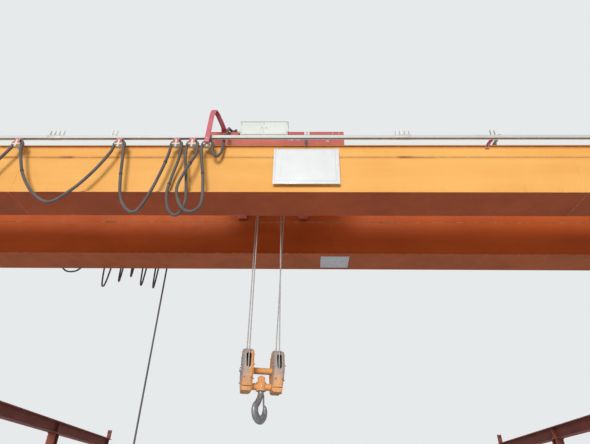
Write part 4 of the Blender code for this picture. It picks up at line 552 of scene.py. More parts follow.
class Shape:
    """Small solids gathered in one mesh, each in its own finish, which becomes one piece."""

    def __init__(self, look):
        self.bmesh = bmesh.new()
        self.looks = [look]

    def keep(self, other, look=None, place=None, smooth=False):
        """Takes in another bmesh, placed by a matrix; without a look, it has the piece's first one."""
        if look and look not in self.looks:
            self.looks.append(look)
        slot = self.looks.index(look) if look else 0
        if place is not None:
            bmesh.ops.transform(other, matrix=place, verts=other.verts)
        for face in other.faces:
            face.material_index = slot
            face.smooth = smooth
        mesh = bpy.data.meshes.new("kept")
        other.to_mesh(mesh)
        other.free()
        self.bmesh.from_mesh(mesh)
        bpy.data.meshes.remove(mesh)
        return self

    def box(self, low, high, look=None, bevel=0.0, place=None):
        made = bmesh.new()
        bmesh.ops.create_cube(made, size=1)
        low, high = (Vector(map(pick, low, high)) for pick in (min, max))
        bmesh.ops.scale(made, vec=high - low, verts=made.verts)
        bmesh.ops.translate(made, vec=(low + high) / 2, verts=made.verts)
        if bevel:
            soften(made, made.edges[:], bevel)
        return self.keep(made, look, place)

    def slab(self, x, y, half, levels, look=None, bevel=0.0):
        """A box about an upright line, from its half sizes and the levels of its foot and its top."""
        low = x - half[0], y - half[1], levels[0]
        return self.box(low, (x + half[0], y + half[1], levels[1]), look, bevel)

    def rod(self, start, end, radius, sides=16, look=None, bevel=0.0):
        start, end = Vector(start), Vector(end)
        made = bmesh.new()
        bmesh.ops.create_cone(
            made, cap_ends=True, segments=sides, radius1=radius, radius2=radius, depth=(end - start).length
        )
        if bevel:
            rims = [edge for edge in made.edges if any(len(face.verts) > 4 for face in edge.link_faces)]
            soften(made, rims, bevel)
        place = Matrix.Translation((start + end) / 2) @ aim(end - start)
        return self.keep(made, look, place, smooth=sides > 8)

    def turned(self, profile, place, axis, steps=32, look=None, ring=False):
        """A profile of (radius, height) pairs turned about an axis through a place."""
        made = bmesh.new()
        angles = [2 * math.pi * n / steps for n in range(steps)]
        rings = []
        for radius, height in profile:
            spots = [(radius * math.cos(a), radius * math.sin(a), height) for a in angles]
            rings.append([made.verts.new(spot) for spot in (spots if radius > 1e-6 else [(0, 0, height)])])
        for first, second in zip(rings, rings[1:] + ([rings[0]] if ring else [])):
            for n in range(steps):
                corners = [first[n % len(first)], first[(n + 1) % len(first)]]
                corners += [second[(n + 1) % len(second)], second[n % len(second)]]
                made.faces.new(list(dict.fromkeys(corners)))
        bmesh.ops.recalc_face_normals(made, faces=made.faces)
        return self.keep(made, look, Matrix.Translation(place) @ aim(Vector(axis)), smooth=True)

    def collar(self, inner, outer, half, place, axis, steps, look=None, chamfer=0.001):
        """A ring about an axis, its outer rims chamfered."""
        profile = [(inner, -half), (outer, chamfer - half), (outer, half - chamfer), (inner, half)]
        return self.turned(profile, place, axis, steps, look, ring=True)

    def disc(self, radius, thick, place, axis, steps, look=None):
        """A flat cover with a chamfered rim, let a little into what it covers."""
        profile = [(0, thick), (radius - 0.003, thick), (radius, thick / 2), (radius, -0.0005), (0, -0.0005)]
        return self.turned(profile, place, axis, steps, look)

    def tube(self, points, radius, sides=12, look=None, closed=False, radii=None):
        """A round tube along points, its rings carried along without twist."""
        made = bmesh.new()
        points = [Vector(p) for p in points]
        count = len(points)
        angles = [2 * math.pi * k / sides for k in range(sides)]
        side = None
        rings = []
        for n, point in enumerate(points):
            before = points[(n - 1) % count if closed else max(0, n - 1)]
            after = points[(n + 1) % count if closed else min(count - 1, n + 1)]
            run = (after - before).normalized()
            if side is None:
                side = run.orthogonal().normalized()
            side = (side - run * side.dot(run)).normalized()
            other = run.cross(side)
            r = radii[n] if radii else radius
            spots = [point + r * (math.cos(a) * side + math.sin(a) * other) for a in angles]
            rings.append([made.verts.new(spot) for spot in spots])
        join_rings(made, rings, closed)
        return self.keep(made, look, smooth=True)

    def bolt(self, place, axis, size, look=None, stick=0.0):
        """A hexagon head on a washer, pointing along an axis, with its thread end if it sticks out."""
        place, axis = Vector(place), Vector(axis).normalized()
        self.rod(place, place + axis * size * 0.14, size * 1.05, 16, look)
        head = place + axis * size * 0.14, place + axis * size * 0.82
        self.rod(*head, size * 0.86, 6, look, bevel=size * 0.07)
        if stick:
            self.rod(place + axis * size * 0.8, place + axis * (size * 0.8 + stick), size * 0.48, 10, look)
        return self

    def bolt_circle(self, centre, radius, across, count, start, axis, size, look, stick=0.0):
        """Bolts on a circle in the plane of one level axis and Z, the first at a start in degrees."""
        for spot in arc(centre, radius, across, Z, start, start + 360, count)[:-1]:
            self.bolt(spot, axis, size, look, stick)

    def loft(self, rings, look=None, smooth=True):
        """A skin over rings of as many points, closed at both ends."""
        made = bmesh.new()
        join_rings(made, [[made.verts.new(p) for p in ring] for ring in rings])
        return self.keep(made, look, smooth=smooth)

    def piece(self, name, body=None, replaces=(), sharp=35):
        mesh = bpy.data.meshes.new(name)
        self.bmesh.to_mesh(mesh)
        self.bmesh.free()
        mesh.set_sharp_from_angle(angle=math.radians(sharp))
        for look in self.looks:
            mesh.materials.append(FINISH[look])
        made = bpy.data.objects.new(name, mesh)
        bpy.context.scene.collection.objects.link(made)
        if body:
            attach(made, body)
        if replaces:
            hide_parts(*replaces)
        return made


def smooth_route(route, spacing):
    """Points about one spacing apart along a smooth curve through the route's own points."""
    route = [Vector(p) for p in route]
    ends = [2 * route[0] - route[1], *route, 2 * route[-1] - route[-2]]
    points = []
    for a, b, c, d in zip(ends, ends[1:], ends[2:], ends[3:]):
        count = max(1, round((c - b).length / spacing))
        for n in range(count):
            t = n / count
            straight = 2 * b + (c - a) * t
            bent = straight + (2 * a - 5 * b + 4 * c - d) * t**2 + (3 * b - a - 3 * c + d) * t**3
            points.append(0.5 * bent)
    return [*points, route[-1]]


def arc(centre, radius, x_axis, y_axis, start, end, count):
    """Points on an arc from start to end, in degrees, in the plane of two axes."""
    centre = Vector(centre)
    angles = [math.radians(start + (end - start) * n / count) for n in range(count + 1)]
    return [centre + radius * (math.cos(a) * x_axis + math.sin(a) * y_axis) for a in angles]


def evenly(points, spacing):
    """The same route with its points an even distance apart."""
    points = [Vector(p) for p in points]
    out, left = [points[0].copy()], spacing
    for a, b in zip(points, points[1:]):
        length = (b - a).length
        at = left
        while at < length:
            out.append(a + (b - a) * at / length)
            at += spacing
        left = at - length
    if (out[-1] - points[-1]).length < spacing * 0.4:
        out.pop()
    return [*out, points[-1].copy()]


# Cables

FESTOON_RADIUS, PENDANT_RADIUS = 0.017, 0.012
FESTOON_DEPTH = 0.98
CLAMP_X = -8.72
SADDLE_STEPS = 6
SADDLE_DIP, CABLE_DIP = 0.05, 0.12
SEAT_RISE, PENDANT_RISE = (
    (SADDLE_RADIUS + radius + SEAT_GAP) / math.cos(math.radians(80 / SADDLE_STEPS))
    for radius in (FESTOON_RADIUS, PENDANT_RADIUS)
)
# The inner points of the four loops nearest to the crab: x, z and how far each swings aside
LOOPS = (
    [
        (-3.31, 5.02, 0), (-3.18, 4.72, 0), (-2.98, 4.46, 0), (-2.76, 4.34, 0), (-2.55, 4.52, 0),
        (-2.38, 4.78, 0), (-2.27, 5.02, 0),
    ],
    [
        (-2.10, 5.00, 0), (-2.06, 4.70, 0), (-2.00, 4.42, 0), (-1.90, 4.25, 0), (-1.79, 4.22, 0),
        (-1.69, 4.45, 0), (-1.61, 4.78, 0), (-1.57, 5.02, 0),
    ],
    [
        (-1.45, 4.98, 0.03), (-1.50, 4.74, 0.06), (-1.52, 4.50, 0.06), (-1.46, 4.27, 0.05),
        (-1.36, 4.20, 0.04), (-1.29, 4.34, 0.03), (-1.31, 4.60, 0.03), (-1.37, 4.98, 0.01),
    ],
    [
        (-1.25, 4.98, -0.02), (-1.32, 4.74, -0.05), (-1.38, 4.48, -0.05), (-1.30, 4.25, -0.05),
        (-1.19, 4.19, -0.04), (-1.10, 4.30, -0.02), (-1.12, 4.62, 0), (-1.18, 4.98, 0),
    ],
)
# Where the ties sit on each loop, as shares of its length
TIES = ((0.235,), (), (0.22,), (0.24,), (0.26, 0.8), (0.3,), (0.2, 0.74))
# The cable's way from the tow clamp to the cabinet: x, the distance behind the track, and z
TAIL = [
    (-1.065, 0, 5.06), (-1.02, 0.02, 5.01), (-0.975, 0.05, 5.08), (-0.960, 0.056, 5.22),
    (-0.957, 0.062, 5.32), (-0.955, 0.14, 5.47), (-0.957, 0.21, 5.60), (-0.957, 0.24, 5.665),
    (-0.945, 0.30, 5.690), (-0.925, 0.32, 5.690), (-0.8955, 0.32, 5.690),
]
PENDANT_CARRIERS = (-3.94, -3.11, -2.84, -2.67, -2.51, -2.31, -2.13)
PENDANT_DEPTHS = (0.62, 0.86, 0.78, 0.70, 0.84, 0.88)


def even_loop(left, right, depth):
    """The inner points of a loop that hangs evenly between two saddles."""
    clear = SADDLE_RADIUS + PENDANT_RADIUS
    shares = [n / 6 for n in range(1, 6)]
    return [
        (left + clear + (right - left - 2 * clear) * t, SADDLE_Z - depth * (1 - abs(2 * t - 1) ** 2.4), 0)
        for t in shares
    ]


def seat_half(x, y, rise, which):
    """The cable over one half of a saddle: the left half climbs to its top, the right half leaves it."""
    middle = x, y, SADDLE_Z
    if which == "left":
        return [(x - rise, y, SADDLE_Z - SADDLE_DIP)] + arc(middle, rise, -X, Z, 10, 90, SADDLE_STEPS)
    return arc(middle, rise, -X, Z, 90, 170, SADDLE_STEPS) + [(x + rise, y, SADDLE_Z - SADDLE_DIP)]


def build_festoon_cable():
    """The seven loops between clamp, trolleys and crab, with their ties, and the cable's two ends."""
    supports = [CLAMP_X, *TROLLEYS, TOW_X]
    bodies = ["bridge", *(f"trolley_{n}" for n in range(1, 7)), "crab"]
    loops = [*(even_loop(a, b, FESTOON_DEPTH) for a, b in zip(supports[:3], TROLLEYS)), *LOOPS]
    for n, (loop, ties) in enumerate(zip(loops, TIES)):
        left, right = supports[n], supports[n + 1]
        route = seat_half(left, TRACK_Y, SEAT_RISE, "right")
        route += [(x, TRACK_Y + aside, z) for x, z, aside in loop]
        route += seat_half(right, TRACK_Y, SEAT_RISE, "left")
        points = smooth_route(route, 0.028)
        shape = Shape("sheath").tube(points, FESTOON_RADIUS, 14)
        for share in ties:
            at = round(share * len(points))
            run = (points[at + 1] - points[at]).normalized()
            shape.collar(0.0172, 0.0205, 0.007, points[at], run, 20, "tie")
            buckle = Matrix.Translation(points[at])
            shape.box((-0.004, 0.018, -0.004), (0.004, 0.029, 0.004), "tie", 0.001, buckle)
        piece = shape.piece(f"festoon_loop_{n + 1}")
        if n == len(loops) - 1:
            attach(piece, "crab")
        else:
            start, end = (left + SEAT_RISE, TRACK_Y, SADDLE_Z), (right - SEAT_RISE, TRACK_Y, SADDLE_Z)
            bodies[n + 1]
            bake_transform(piece)
        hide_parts("festoon_cable")
    stub = [(CLAMP_X - SEAT_RISE, TRACK_Y, SADDLE_Z - 0.14), *seat_half(CLAMP_X, TRACK_Y, SEAT_RISE, "left")]
    tail = [*seat_half(TOW_X, TRACK_Y, SEAT_RISE, "right"), *((x, TRACK_Y + dy, z) for x, dy, z in TAIL)]
    Shape("sheath").tube(smooth_route(stub, 0.02), FESTOON_RADIUS, 14).piece("festoon_cable_end", "bridge")
    Shape("sheath").tube(smooth_route(tail, 0.016), FESTOON_RADIUS, 14).piece("festoon_tail", "crab")


build_festoon_cable()


def add_strap(shape, x, y, radius, start, end, steps):
    """A strap bent over the cable where it lies on its saddle."""
    middle = Vector((x, y, SADDLE_Z))
    corners = (-0.026, 0), (0.026, 0), (0.026, 0.003), (-0.026, 0.003)
    bend = arc(middle, radius, -X, Z, start, end, steps)
    rings = [[p + Y * a + (p - middle).normalized() * b for a, b in corners] for p in bend]
    shape.loft(rings, "cream", smooth=False)


def build_trolleys():
    """Cheeks, straps and runners of the trolleys, of the tow clamp and of the clamp at the track's end."""
    bodies = {**{f"trolley_{n + 1}": x for n, x in enumerate(TROLLEYS)}, "crab": TOW_X, "bridge": CLAMP_X}
    for body, x in bodies.items():
        shape = Shape("cream")
        for side, look in ((-1, "arm red"), (1, "cream")):
            y, out = TRACK_Y + side * CHEEK_OFFSET, (0, side, 0)
            face = y + side * 0.003
            shape.slab(x, y, (0.032, 0.003), (5.166, 5.252), look, 0.002)
            for across in (-0.018, 0.018):
                shape.bolt((x + across, face, 5.238), out, 0.007, "zinc")
            shape.box((x - 0.011, face, 5.112), (x + 0.011, y + side * 0.0075, 5.222), "cream", 0.0015)
            shape.box((x - 0.047, face, 5.146), (x + 0.047, y + side * 0.007, 5.166), "cream", 0.0015)
            for across in (-0.036, 0.036):
                shape.bolt((x + across, y + side * 0.007, 5.156), out, 0.006, "zinc")
            shape.bolt((x, y + side * 0.0075, 5.124), out, 0.006, "zinc")
        add_strap(shape, x, TRACK_Y, SEAT_RISE + FESTOON_RADIUS + 0.0022, 58, 122, 10)
        if body == "bridge":
            shape.slab(x, TRACK_Y, (0.05, 0.026), (5.302, 5.309), "zinc", 0.002)
        else:
            for across in (-0.024, 0.024):
                for side in (-1, 1):
                    start, end = ((x + across, TRACK_Y + side * gap, 5.277) for gap in (0.0145, 0.006))
                    shape.rod(start, end, 0.0115, 20, "black")
        shape.piece(f"{body}_clamp" if body != "crab" else "tow_clamp", body)


def strand_rope(points, radius, turns_per_metre, lobes=6, sides=18):
    """A laid wire rope: rings with lobes for the strands, which turn as they go along."""
    made = bmesh.new()
    rings, side, gone = [], None, 0.0
    for n, point in enumerate(points):
        before, after = points[max(0, n - 1)], points[min(len(points) - 1, n + 1)]
        if n:
            gone += (point - points[n - 1]).length
        run = (after - before).normalized()
        side = run.orthogonal().normalized() if side is None else (side - run * side.dot(run)).normalized()
        other = run.cross(side)
        turn = gone * turns_per_metre * 2 * math.pi
        ring = []
        for k in range(sides):
            angle = 2 * math.pi * k / sides
            r = radius * (0.93 + 0.09 * math.cos(lobes * (angle - turn)))
            ring.append(made.verts.new(point + r * (math.cos(angle) * side + math.sin(angle) * other)))
        rings.append(ring)
    join_rings(made, rings)
    return made


def at_block(along, across, z):
    """A place in the hook block, from its distances along and across the axle."""
    return Vector((CRAB_X, BRIDGE_Y, z)) + along * U + across * V


def build_rope():
    """The four falls between drum, sheaves and equaliser, and the turns wound on the drum."""
    fall, pitch, turns, steps, spacing, lay = 0.20, 0.0165, 11, 40, 0.0125, 11
    drum_y = BRIDGE_Y + DRUM_Y - DRUM_RADIUS - ROPE_RADIUS - SEAT_GAP
    equaliser = Vector((CRAB_X, BRIDGE_Y - SHEAVE_PITCH, EQUALISER_Z))
    left, right = at_block(-SHEAVE_OFFSET, 0, SHEAVE_Z), at_block(SHEAVE_OFFSET, 0, SHEAVE_Z)
    points = [Vector((CRAB_X - fall, drum_y, DRUM_Z))]
    points += arc(left, SHEAVE_PITCH, V, Z, 0, -180, 24)
    points += arc(equaliser, EQUALISER_RADIUS, X, Z, 180, 0, 24)
    points += arc(right, SHEAVE_PITCH, -V, Z, 0, -180, 24)
    points.append(Vector((CRAB_X + fall, drum_y, DRUM_Z)))
    shape = Shape("rope").keep(strand_rope(evenly(points, spacing), ROPE_RADIUS, lay), smooth=True)
    piece = shape.piece("wire_rope", sharp=80)
    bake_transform(piece)
    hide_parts("hoist_rope")
    wound = Shape("rope")
    r = DRUM_RADIUS + ROPE_RADIUS + SEAT_GAP
    for side in (-1, 1):
        coil = []
        for n in range(turns * steps + 1):
            a = 2 * math.pi * n / steps
            x = CRAB_X + side * (fall + pitch * n / steps)
            coil.append((x, BRIDGE_Y + DRUM_Y - r * math.cos(a), DRUM_Z + r * math.sin(a)))
        wound.tube(coil, ROPE_RADIUS, 8)
    wound.piece("drum_rope", "crab")


# Hook block


def hook_point(along, z):
    return Vector((CRAB_X, BRIDGE_Y, z)) + along * HOOK_ALONG


def build_hook():
    """The forged hook, one skin from the shank to the tip, deepest across the bowl; its nut and latch."""
    top, nut_low, bowl_z = TRUNNION_Z - 0.0453, TRUNNION_Z + 0.0453, 2.44
    shank_rings, sides, spacing = 14, 28, 0.006
    # Along, height, half depth and half thickness
    line = [
        (0.0, top, 0.030, 0.030), (0.0, top - 0.03, 0.030, 0.032), (-0.012, top - 0.06, 0.031, 0.030),
        (-0.045, bowl_z + 0.065, 0.034, 0.032), (-0.082, bowl_z + 0.025, 0.038, 0.033),
        (-0.093, bowl_z - 0.020, 0.041, 0.034), (-0.073, bowl_z - 0.070, 0.044, 0.034),
        (-0.028, bowl_z - 0.098, 0.046, 0.034), (0.028, bowl_z - 0.098, 0.044, 0.033),
        (0.074, bowl_z - 0.066, 0.038, 0.031), (0.092, bowl_z - 0.016, 0.030, 0.027),
        (0.089, bowl_z + 0.022, 0.022, 0.021), (0.083, bowl_z + 0.045, 0.012, 0.012),
    ]
    places = smooth_route([(along, 0, z) for along, z, _, _ in line], spacing)
    sizes = []
    for first, second in zip(line, line[1:]):
        count = max(1, round(math.hypot(second[0] - first[0], second[1] - first[1]) / spacing))
        for t in (n / count for n in range(count)):
            share = t * t * (3 - 2 * t)
            sizes.append([a * (1 - share) + b * share for a, b in zip(first[2:], second[2:])])
    sizes.append(line[-1][2:])
    rings = []
    for n, (place, (depth, thick)) in enumerate(zip(places, sizes)):
        run = (places[min(n + 1, len(places) - 1)] - places[max(0, n - 1)]).normalized()
        out = -run.z * HOOK_ALONG + run.x * Z
        taper = 0.16 if n > shank_rings else 0.0
        middle = hook_point(place.x, place.z)
        ring = []
        for a in (2 * math.pi * k / sides for k in range(sides)):
            c, s = math.cos(a), math.sin(a)
            narrow = 1 - taper * max(0.0, -c)
            ring.append(middle + c * depth * 0.995 * out + s * thick * narrow * HOOK_WIDE)
        rings.append(ring)
    middle = sum(rings[-1], Vector()) / sides
    lift = (places[-1] - places[-2]).normalized() * 0.006
    rings.append([middle + (p - middle) * 0.55 + lift.x * HOOK_ALONG + lift.z * Z for p in rings[-1]])
    shape = Shape("forged").loft(rings)
    shape.rod(hook_point(0, top - 0.015), hook_point(0, nut_low + 0.063), 0.024, 32, "bright", bevel=0.002)
    shape.rod(hook_point(0, nut_low), hook_point(0, nut_low + 0.055), 0.045, 6, "block", bevel=0.004)
    shoulder = [(0.024, 0), (0.033, 0.001), (0.033, 0.005), (0.024, 0.006)]
    shape.turned(shoulder, hook_point(0, top - 0.0005), -Z, 32, "forged", ring=True)
    thread = [(0.0242, -0.001), (0.0255, 0), (0.0242, 0.001)]
    for z in (0.030, 0.046, 0.060):
        shape.turned(thread, hook_point(0, nut_low + z), Z, 32, "bright", ring=True)
    pin = hook_point(0, nut_low + 0.0375)
    shape.rod(pin - HOOK_WIDE * 0.046, pin + HOOK_WIDE * 0.046, 0.004, 12, "bright", bevel=0.0008)
    pivot = hook_point(0.040, top - 0.034)
    ear = HOOK_WIDE * 0.0057
    shape.rod(pivot - ear, pivot + ear, 0.0083, 24, "forged", bevel=0.001)
    at_pivot = Matrix.Translation(pivot) @ Matrix.Rotation(HOOK_TURN, 4, "Z")
    shape.box((-0.022, -0.0057, -0.0078), (0, 0.0057, 0.0078), "forged", 0.002, at_pivot)
    shape.piece("forged_hook", "hook", ["hook"], sharp=42)

    latch = Shape("bright")
    reach = hook_point(0.054, bowl_z + 0.030) - pivot
    down = reach.normalized()
    across = down.cross(HOOK_WIDE)
    if across.dot(HOOK_ALONG) < 0:
        across.negate()
    latch.rod(pivot - HOOK_WIDE * 0.0122, pivot + HOOK_WIDE * 0.0122, 0.0038, 16, bevel=0.0008)
    for side in (-1, 1):
        latch.bolt(pivot + HOOK_WIDE * side * 0.0106, side * HOOK_WIDE, 0.0052)
        seam = pivot + side * HOOK_WIDE * 0.0098 + across * 0.0125
        edge = [seam + down * d for d in (0.012, 0.03, 0.05, reach.length * 0.96)]
        latch.tube(smooth_route(edge, 0.006), 0.0012, 8)
    latch.piece("latch_pin", "latch")
    coil = []
    turns, steps = 4, 16
    for n in range(turns * steps + 1):
        a = 2 * math.pi * n / steps
        aside = -0.0055 + 0.011 * n / (turns * steps)
        coil.append(pivot + HOOK_WIDE * aside + 0.0098 * (math.cos(a) * HOOK_ALONG + math.sin(a) * Z))
    Shape("bright").tube(coil, 0.0006, 6).piece("latch_spring", "hook")


def build_crosshead():
    """Collars at the crosshead's bores and trunnions, and its grease nipple."""
    shape = Shape("block")
    for side in (-1, 1):
        shape.collar(0.050, 0.0555, 0.004, at_block(0, 0, TRUNNION_Z + side * 0.041), Z, 40)
        shape.collar(0.034, 0.039, 0.004, at_block(side * 0.100, 0, TRUNNION_Z), U, 32)
    for start, end, radius, sides in ((-0.052, -0.062, 0.006, 6), (-0.062, -0.067, 0.0035, 12)):
        start, end = at_block(0, start, TRUNNION_Z), at_block(0, end, TRUNNION_Z)
        shape.rod(start, end, radius, sides, "bright", bevel=0.001)
    shape.piece("crosshead_collars", "crosshead")


# Control cabinet, towing bar and drives


def build_panel():
    """The control cabinet: it stands on the crab's front beam and hangs down over its face."""
    front, face, back = BRIDGE_Y - 0.832, BRIDGE_Y - 0.7907, BRIDGE_Y - 0.5755
    left, right, drop, low, lock_z, high = -0.806, -0.203, 5.540, 5.6306, 5.655, 5.766
    outline = [(front, drop), (face, drop), (face, low), (back, low), (back, high), (front, high)]
    made = bmesh.new()
    join_rings(made, [[made.verts.new((x, y, z)) for y, z in outline] for x in (left, right)])
    soften(made, made.edges[:], 0.004)
    shape = Shape("panel").keep(made)
    roof = (left - 0.006, front - 0.012, high - 0.004), (right + 0.006, back + 0.006, high + 0.008)
    shape.box(*roof, "panel", 0.003)
    for start, end, hinge, lock in ((-0.798, -0.510, -0.793, -0.534), (-0.500, -0.211, -0.216, -0.476)):
        shape.box((start, front - 0.009, drop + 0.008), (end, front - 0.0004, high - 0.010), "panel", 0.003)
        for z in (drop + 0.045, high - 0.045):
            low_end, high_end = ((hinge, front - 0.010, z + reach) for reach in (-0.020, 0.020))
            shape.rod(low_end, high_end, 0.0045, 14, "zinc", bevel=0.001)
        boss = (lock, front - 0.009, lock_z), (lock, front - 0.015, lock_z)
        shape.rod(*boss, 0.011, 20, "zinc", bevel=0.0015)
        key = (lock - 0.0018, front - 0.0165, lock_z - 0.008), (lock + 0.0018, front - 0.0145, lock_z + 0.008)
        shape.box(*key, "black", 0.0004)
    # Cable entries on the left end, and the white push knob beside them
    side, entry_y, entry_z = -0.866, -8.84, 5.6903
    shape.rod((left + 0.001, entry_y, entry_z), (side, entry_y, entry_z), 0.024, 24, "panel", bevel=0.002)
    nut = [(0.0175, 0), (0.0285, 0.0), (0.0285, 0.010), (0.024, 0.014), (0.0235, 0.027), (0.0175, 0.029)]
    shape.turned(nut, (side, entry_y, entry_z), -X, 24, "black", ring=True)
    for y in (-8.76, -8.71):
        for start, end, radius, sides in ((0, 0.020, 0.014, 6), (0.020, 0.034, 0.010, 16)):
            ends = (left - start, y, 5.69), (left - end, y, 5.69)
            shape.rod(*ends, radius, sides, "black", bevel=0.002 if sides == 6 else 0.001)
    knob = [
        (0.0, 0.034), (0.012, 0.033), (0.020, 0.028), (0.023, 0.020), (0.020, 0.012), (0.013, 0.009),
        (0.012, 0.0), (0.0, 0.0),
    ]
    shape.turned(knob, (left + 0.001, -8.912, 5.605), -X, 28, "white")
    # Lifting eyes on the roof
    eye_y = BRIDGE_Y - 0.70
    for x in (-0.76, -0.25):
        shape.rod((x, eye_y, high + 0.006), (x, eye_y, high + 0.010), 0.014, 20, "zinc")
        shape.tube(arc((x, eye_y, high + 0.022), 0.013, X, Z, 0, 360, 24)[:-1], 0.003, 8, "zinc", closed=True)
    shape.piece("control_cabinet", "crab", ["control_panel"])


def build_towing_arm():
    """A flat bar bent over the track, from the crab's beam down to the lug of the tow trolley."""
    route = [
        (-1.010, -0.800, 5.636), (-1.020, -0.850, 5.640), (-1.040, -0.915, 5.668), (-1.072, -0.985, 5.712),
        (-1.092, -1.040, 5.726), (-1.103, -1.088, 5.706), (-1.110, -1.114, 5.655), (-1.114, -1.125, 5.58),
        (-1.122, -1.126, 5.40), (-1.129, -1.126, 5.20), (-1.130, -1.126, 5.146),
    ]
    half, thin, rounding = 0.029, 0.0075, 0.0028
    line = smooth_route([(x, BRIDGE_Y + y, z) for x, y, z in route], 0.010)
    rings = []
    for n, point in enumerate(line):
        run = (line[min(n + 1, len(line) - 1)] - line[max(0, n - 1)]).normalized()
        wide = (X - run * run.x).normalized()
        flat = run.cross(wide)
        ring = []
        for sx, sy in ((1, 1), (-1, 1), (-1, -1), (1, -1)):
            corner = [(sx * (half - rounding), sy * thin), (sx * half, sy * (thin - rounding))]
            for a, b in corner if sx * sy < 0 else corner[::-1]:
                ring.append(point + wide * a + flat * b)
        rings.append(ring)
    shape = Shape("arm red").loft(rings)
    for low, high in (
        ((-1.055, -0.835, 5.6303), (-0.965, -0.742, 5.6425)),
        ((-1.014, -0.835, 5.641), (-1.006, -0.790, 5.668)),
        ((-1.142, -1.120, 5.150), (-1.118, -1.085, 5.178)),
    ):
        shape.box((low[0], BRIDGE_Y + low[1], low[2]), (high[0], BRIDGE_Y + high[1], high[2]), bevel=0.002)
    for x in (-1.043, -0.977):
        for y in (-0.825, -0.755):
            shape.bolt((x, BRIDGE_Y + y, 5.6425), Z, 0.010, "zinc", 0.008)
    for z in (5.163, 5.205):
        shape.bolt((-1.130, BRIDGE_Y - 1.1337, z), -Y, 0.009, "zinc", 0.006)
    shape.piece("towing_bar", "crab", ["tow_arm"])


def add_fins(shape, y, z, count, low, high, bevel, spared=(0, 0)):
    """Cooling fins along a motor, all round it but for a stretch in degrees that is spared."""
    for n in range(count):
        if not spared[0] < 360 * n / count < spared[1]:
            place = Matrix.Translation((0, y, z)) @ Matrix.Rotation(2 * math.pi * n / count, 4, "X")
            shape.box(low, high, "machine", bevel, place)


def add_grille(shape, radii, rise, place, axis, steps):
    """Round wires over a fan's inlet."""
    for r in radii:
        wire = [(r - 0.003, 0.0), (r - 0.002, rise), (r + 0.002, rise), (r + 0.003, 0.0)]
        shape.turned(wire, place, axis, steps, "black", ring=True)


def build_hoist_details():
    """Fins, grille and terminal box of the hoist motor; seam, covers, ribs and plugs of its gearbox."""
    shape = Shape("machine")
    y, z = BRIDGE_Y + 0.627, 5.88
    left, right, seam_z = 0.058, 0.232, 5.825
    add_fins(shape, y, z, 28, (-0.350, 0.109, -0.0022), (0.030, 0.1175, 0.0022), 0.001, (40, 140))
    for x in (0.055, -0.385):
        shape.collar(0.108, 0.117, 0.008, (x, y, z), X, 40, chamfer=0.002)
    shape.bolt_circle((0.049, y, z), 0.1125, Y, 8, 22.5, -X, 0.006, "zinc")
    add_grille(shape, (0.025, 0.045, 0.065, 0.085, 0.103), 0.004, (-0.475, y, z), -X, 40)
    for spoke_end in arc((-0.477, y, z), 0.104, Y, Z, 45, 405, 4)[:-1]:
        shape.rod((-0.477, y, z), spoke_end, 0.003, 8, "black")
    shape.slab(-0.165, y, (0.067, 0.058), (6.0330, 6.0447), bevel=0.003)
    for x in (-0.223, -0.107):
        for side in (-1, 1):
            shape.bolt((x, y + side * 0.058, 6.0388), (0, side, 0), 0.0042, "zinc")
    shape.rod((-0.232, y, 6.01), (-0.250, y, 6.01), 0.014, 6, "black", bevel=0.002)
    seam = (left, BRIDGE_Y + 0.142, seam_z - 0.009), (right, BRIDGE_Y + 0.772, seam_z + 0.009)
    shape.box(*seam, bevel=0.003)
    for n in range(7):
        bolt_y = BRIDGE_Y + 0.185 + 0.091 * n
        for x, axis in ((right, X), (left, -X)):
            shape.bolt((x, bolt_y, seam_z), axis, 0.008, "zinc")
    for cover_y, cover_z, r in (
        (BRIDGE_Y + DRUM_Y, DRUM_Z, 0.075), (y, z, 0.06), (BRIDGE_Y + 0.48, z, 0.045)
    ):
        shape.rod((0.224, cover_y, cover_z), (0.233, cover_y, cover_z), r, 40, bevel=0.002)
        shape.bolt_circle((0.233, cover_y, cover_z), r - 0.012, Y, 6, 30, X, 0.0065, "zinc")
    for rib in (0.22, 0.40, 0.58, 0.72):
        low = 0.224, BRIDGE_Y + rib - 0.005, 5.645
        shape.box(low, (0.234, BRIDGE_Y + rib + 0.005, 5.80), bevel=0.002)
    plug_y = BRIDGE_Y + 0.44
    shape.rod((0.145, plug_y, 6.018), (0.145, plug_y, 6.030), 0.017, 6, "bright", bevel=0.002)
    plug_y = BRIDGE_Y + 0.66
    shape.rod((0.224, plug_y, 5.72), (0.240, plug_y, 5.72), 0.012, 6, "bright", bevel=0.002)
    shape.piece("hoist_details", "crab")


def build_crab_drive_details():
    """Fins, flange and fan cover of the motor that drives the crab, and the lid of its gearbox."""
    shape = Shape("machine")
    y, z = BRIDGE_Y - 0.385, 5.715
    add_fins(shape, y, z, 20, (-0.515, 0.064, -0.0018), (-0.300, 0.070, 0.0018), 0.0008)
    flange = [(0.063, 0), (0.072, 0.003), (0.072, 0.012), (0.063, 0.015)]
    shape.turned(flange, (-0.300, y, z), X, 32, ring=True)
    cowl = [(0.0, 0.005), (0.064, 0.005), (0.070, 0.0), (0.070, -0.03), (0.064, -0.032), (0.0, -0.032)]
    shape.turned(cowl, (-0.540, y, z), -X, 32)
    for aside in (-0.09, 0.09):
        for x in (-0.27, -0.13):
            shape.bolt((x, y + aside, 5.7905), Z, 0.008, "zinc")
    shape.box((-0.262, BRIDGE_Y - 0.47, 5.789), (-0.138, BRIDGE_Y - 0.30, 5.796), bevel=0.002)
    shape.piece("crab_drive_details", "crab")


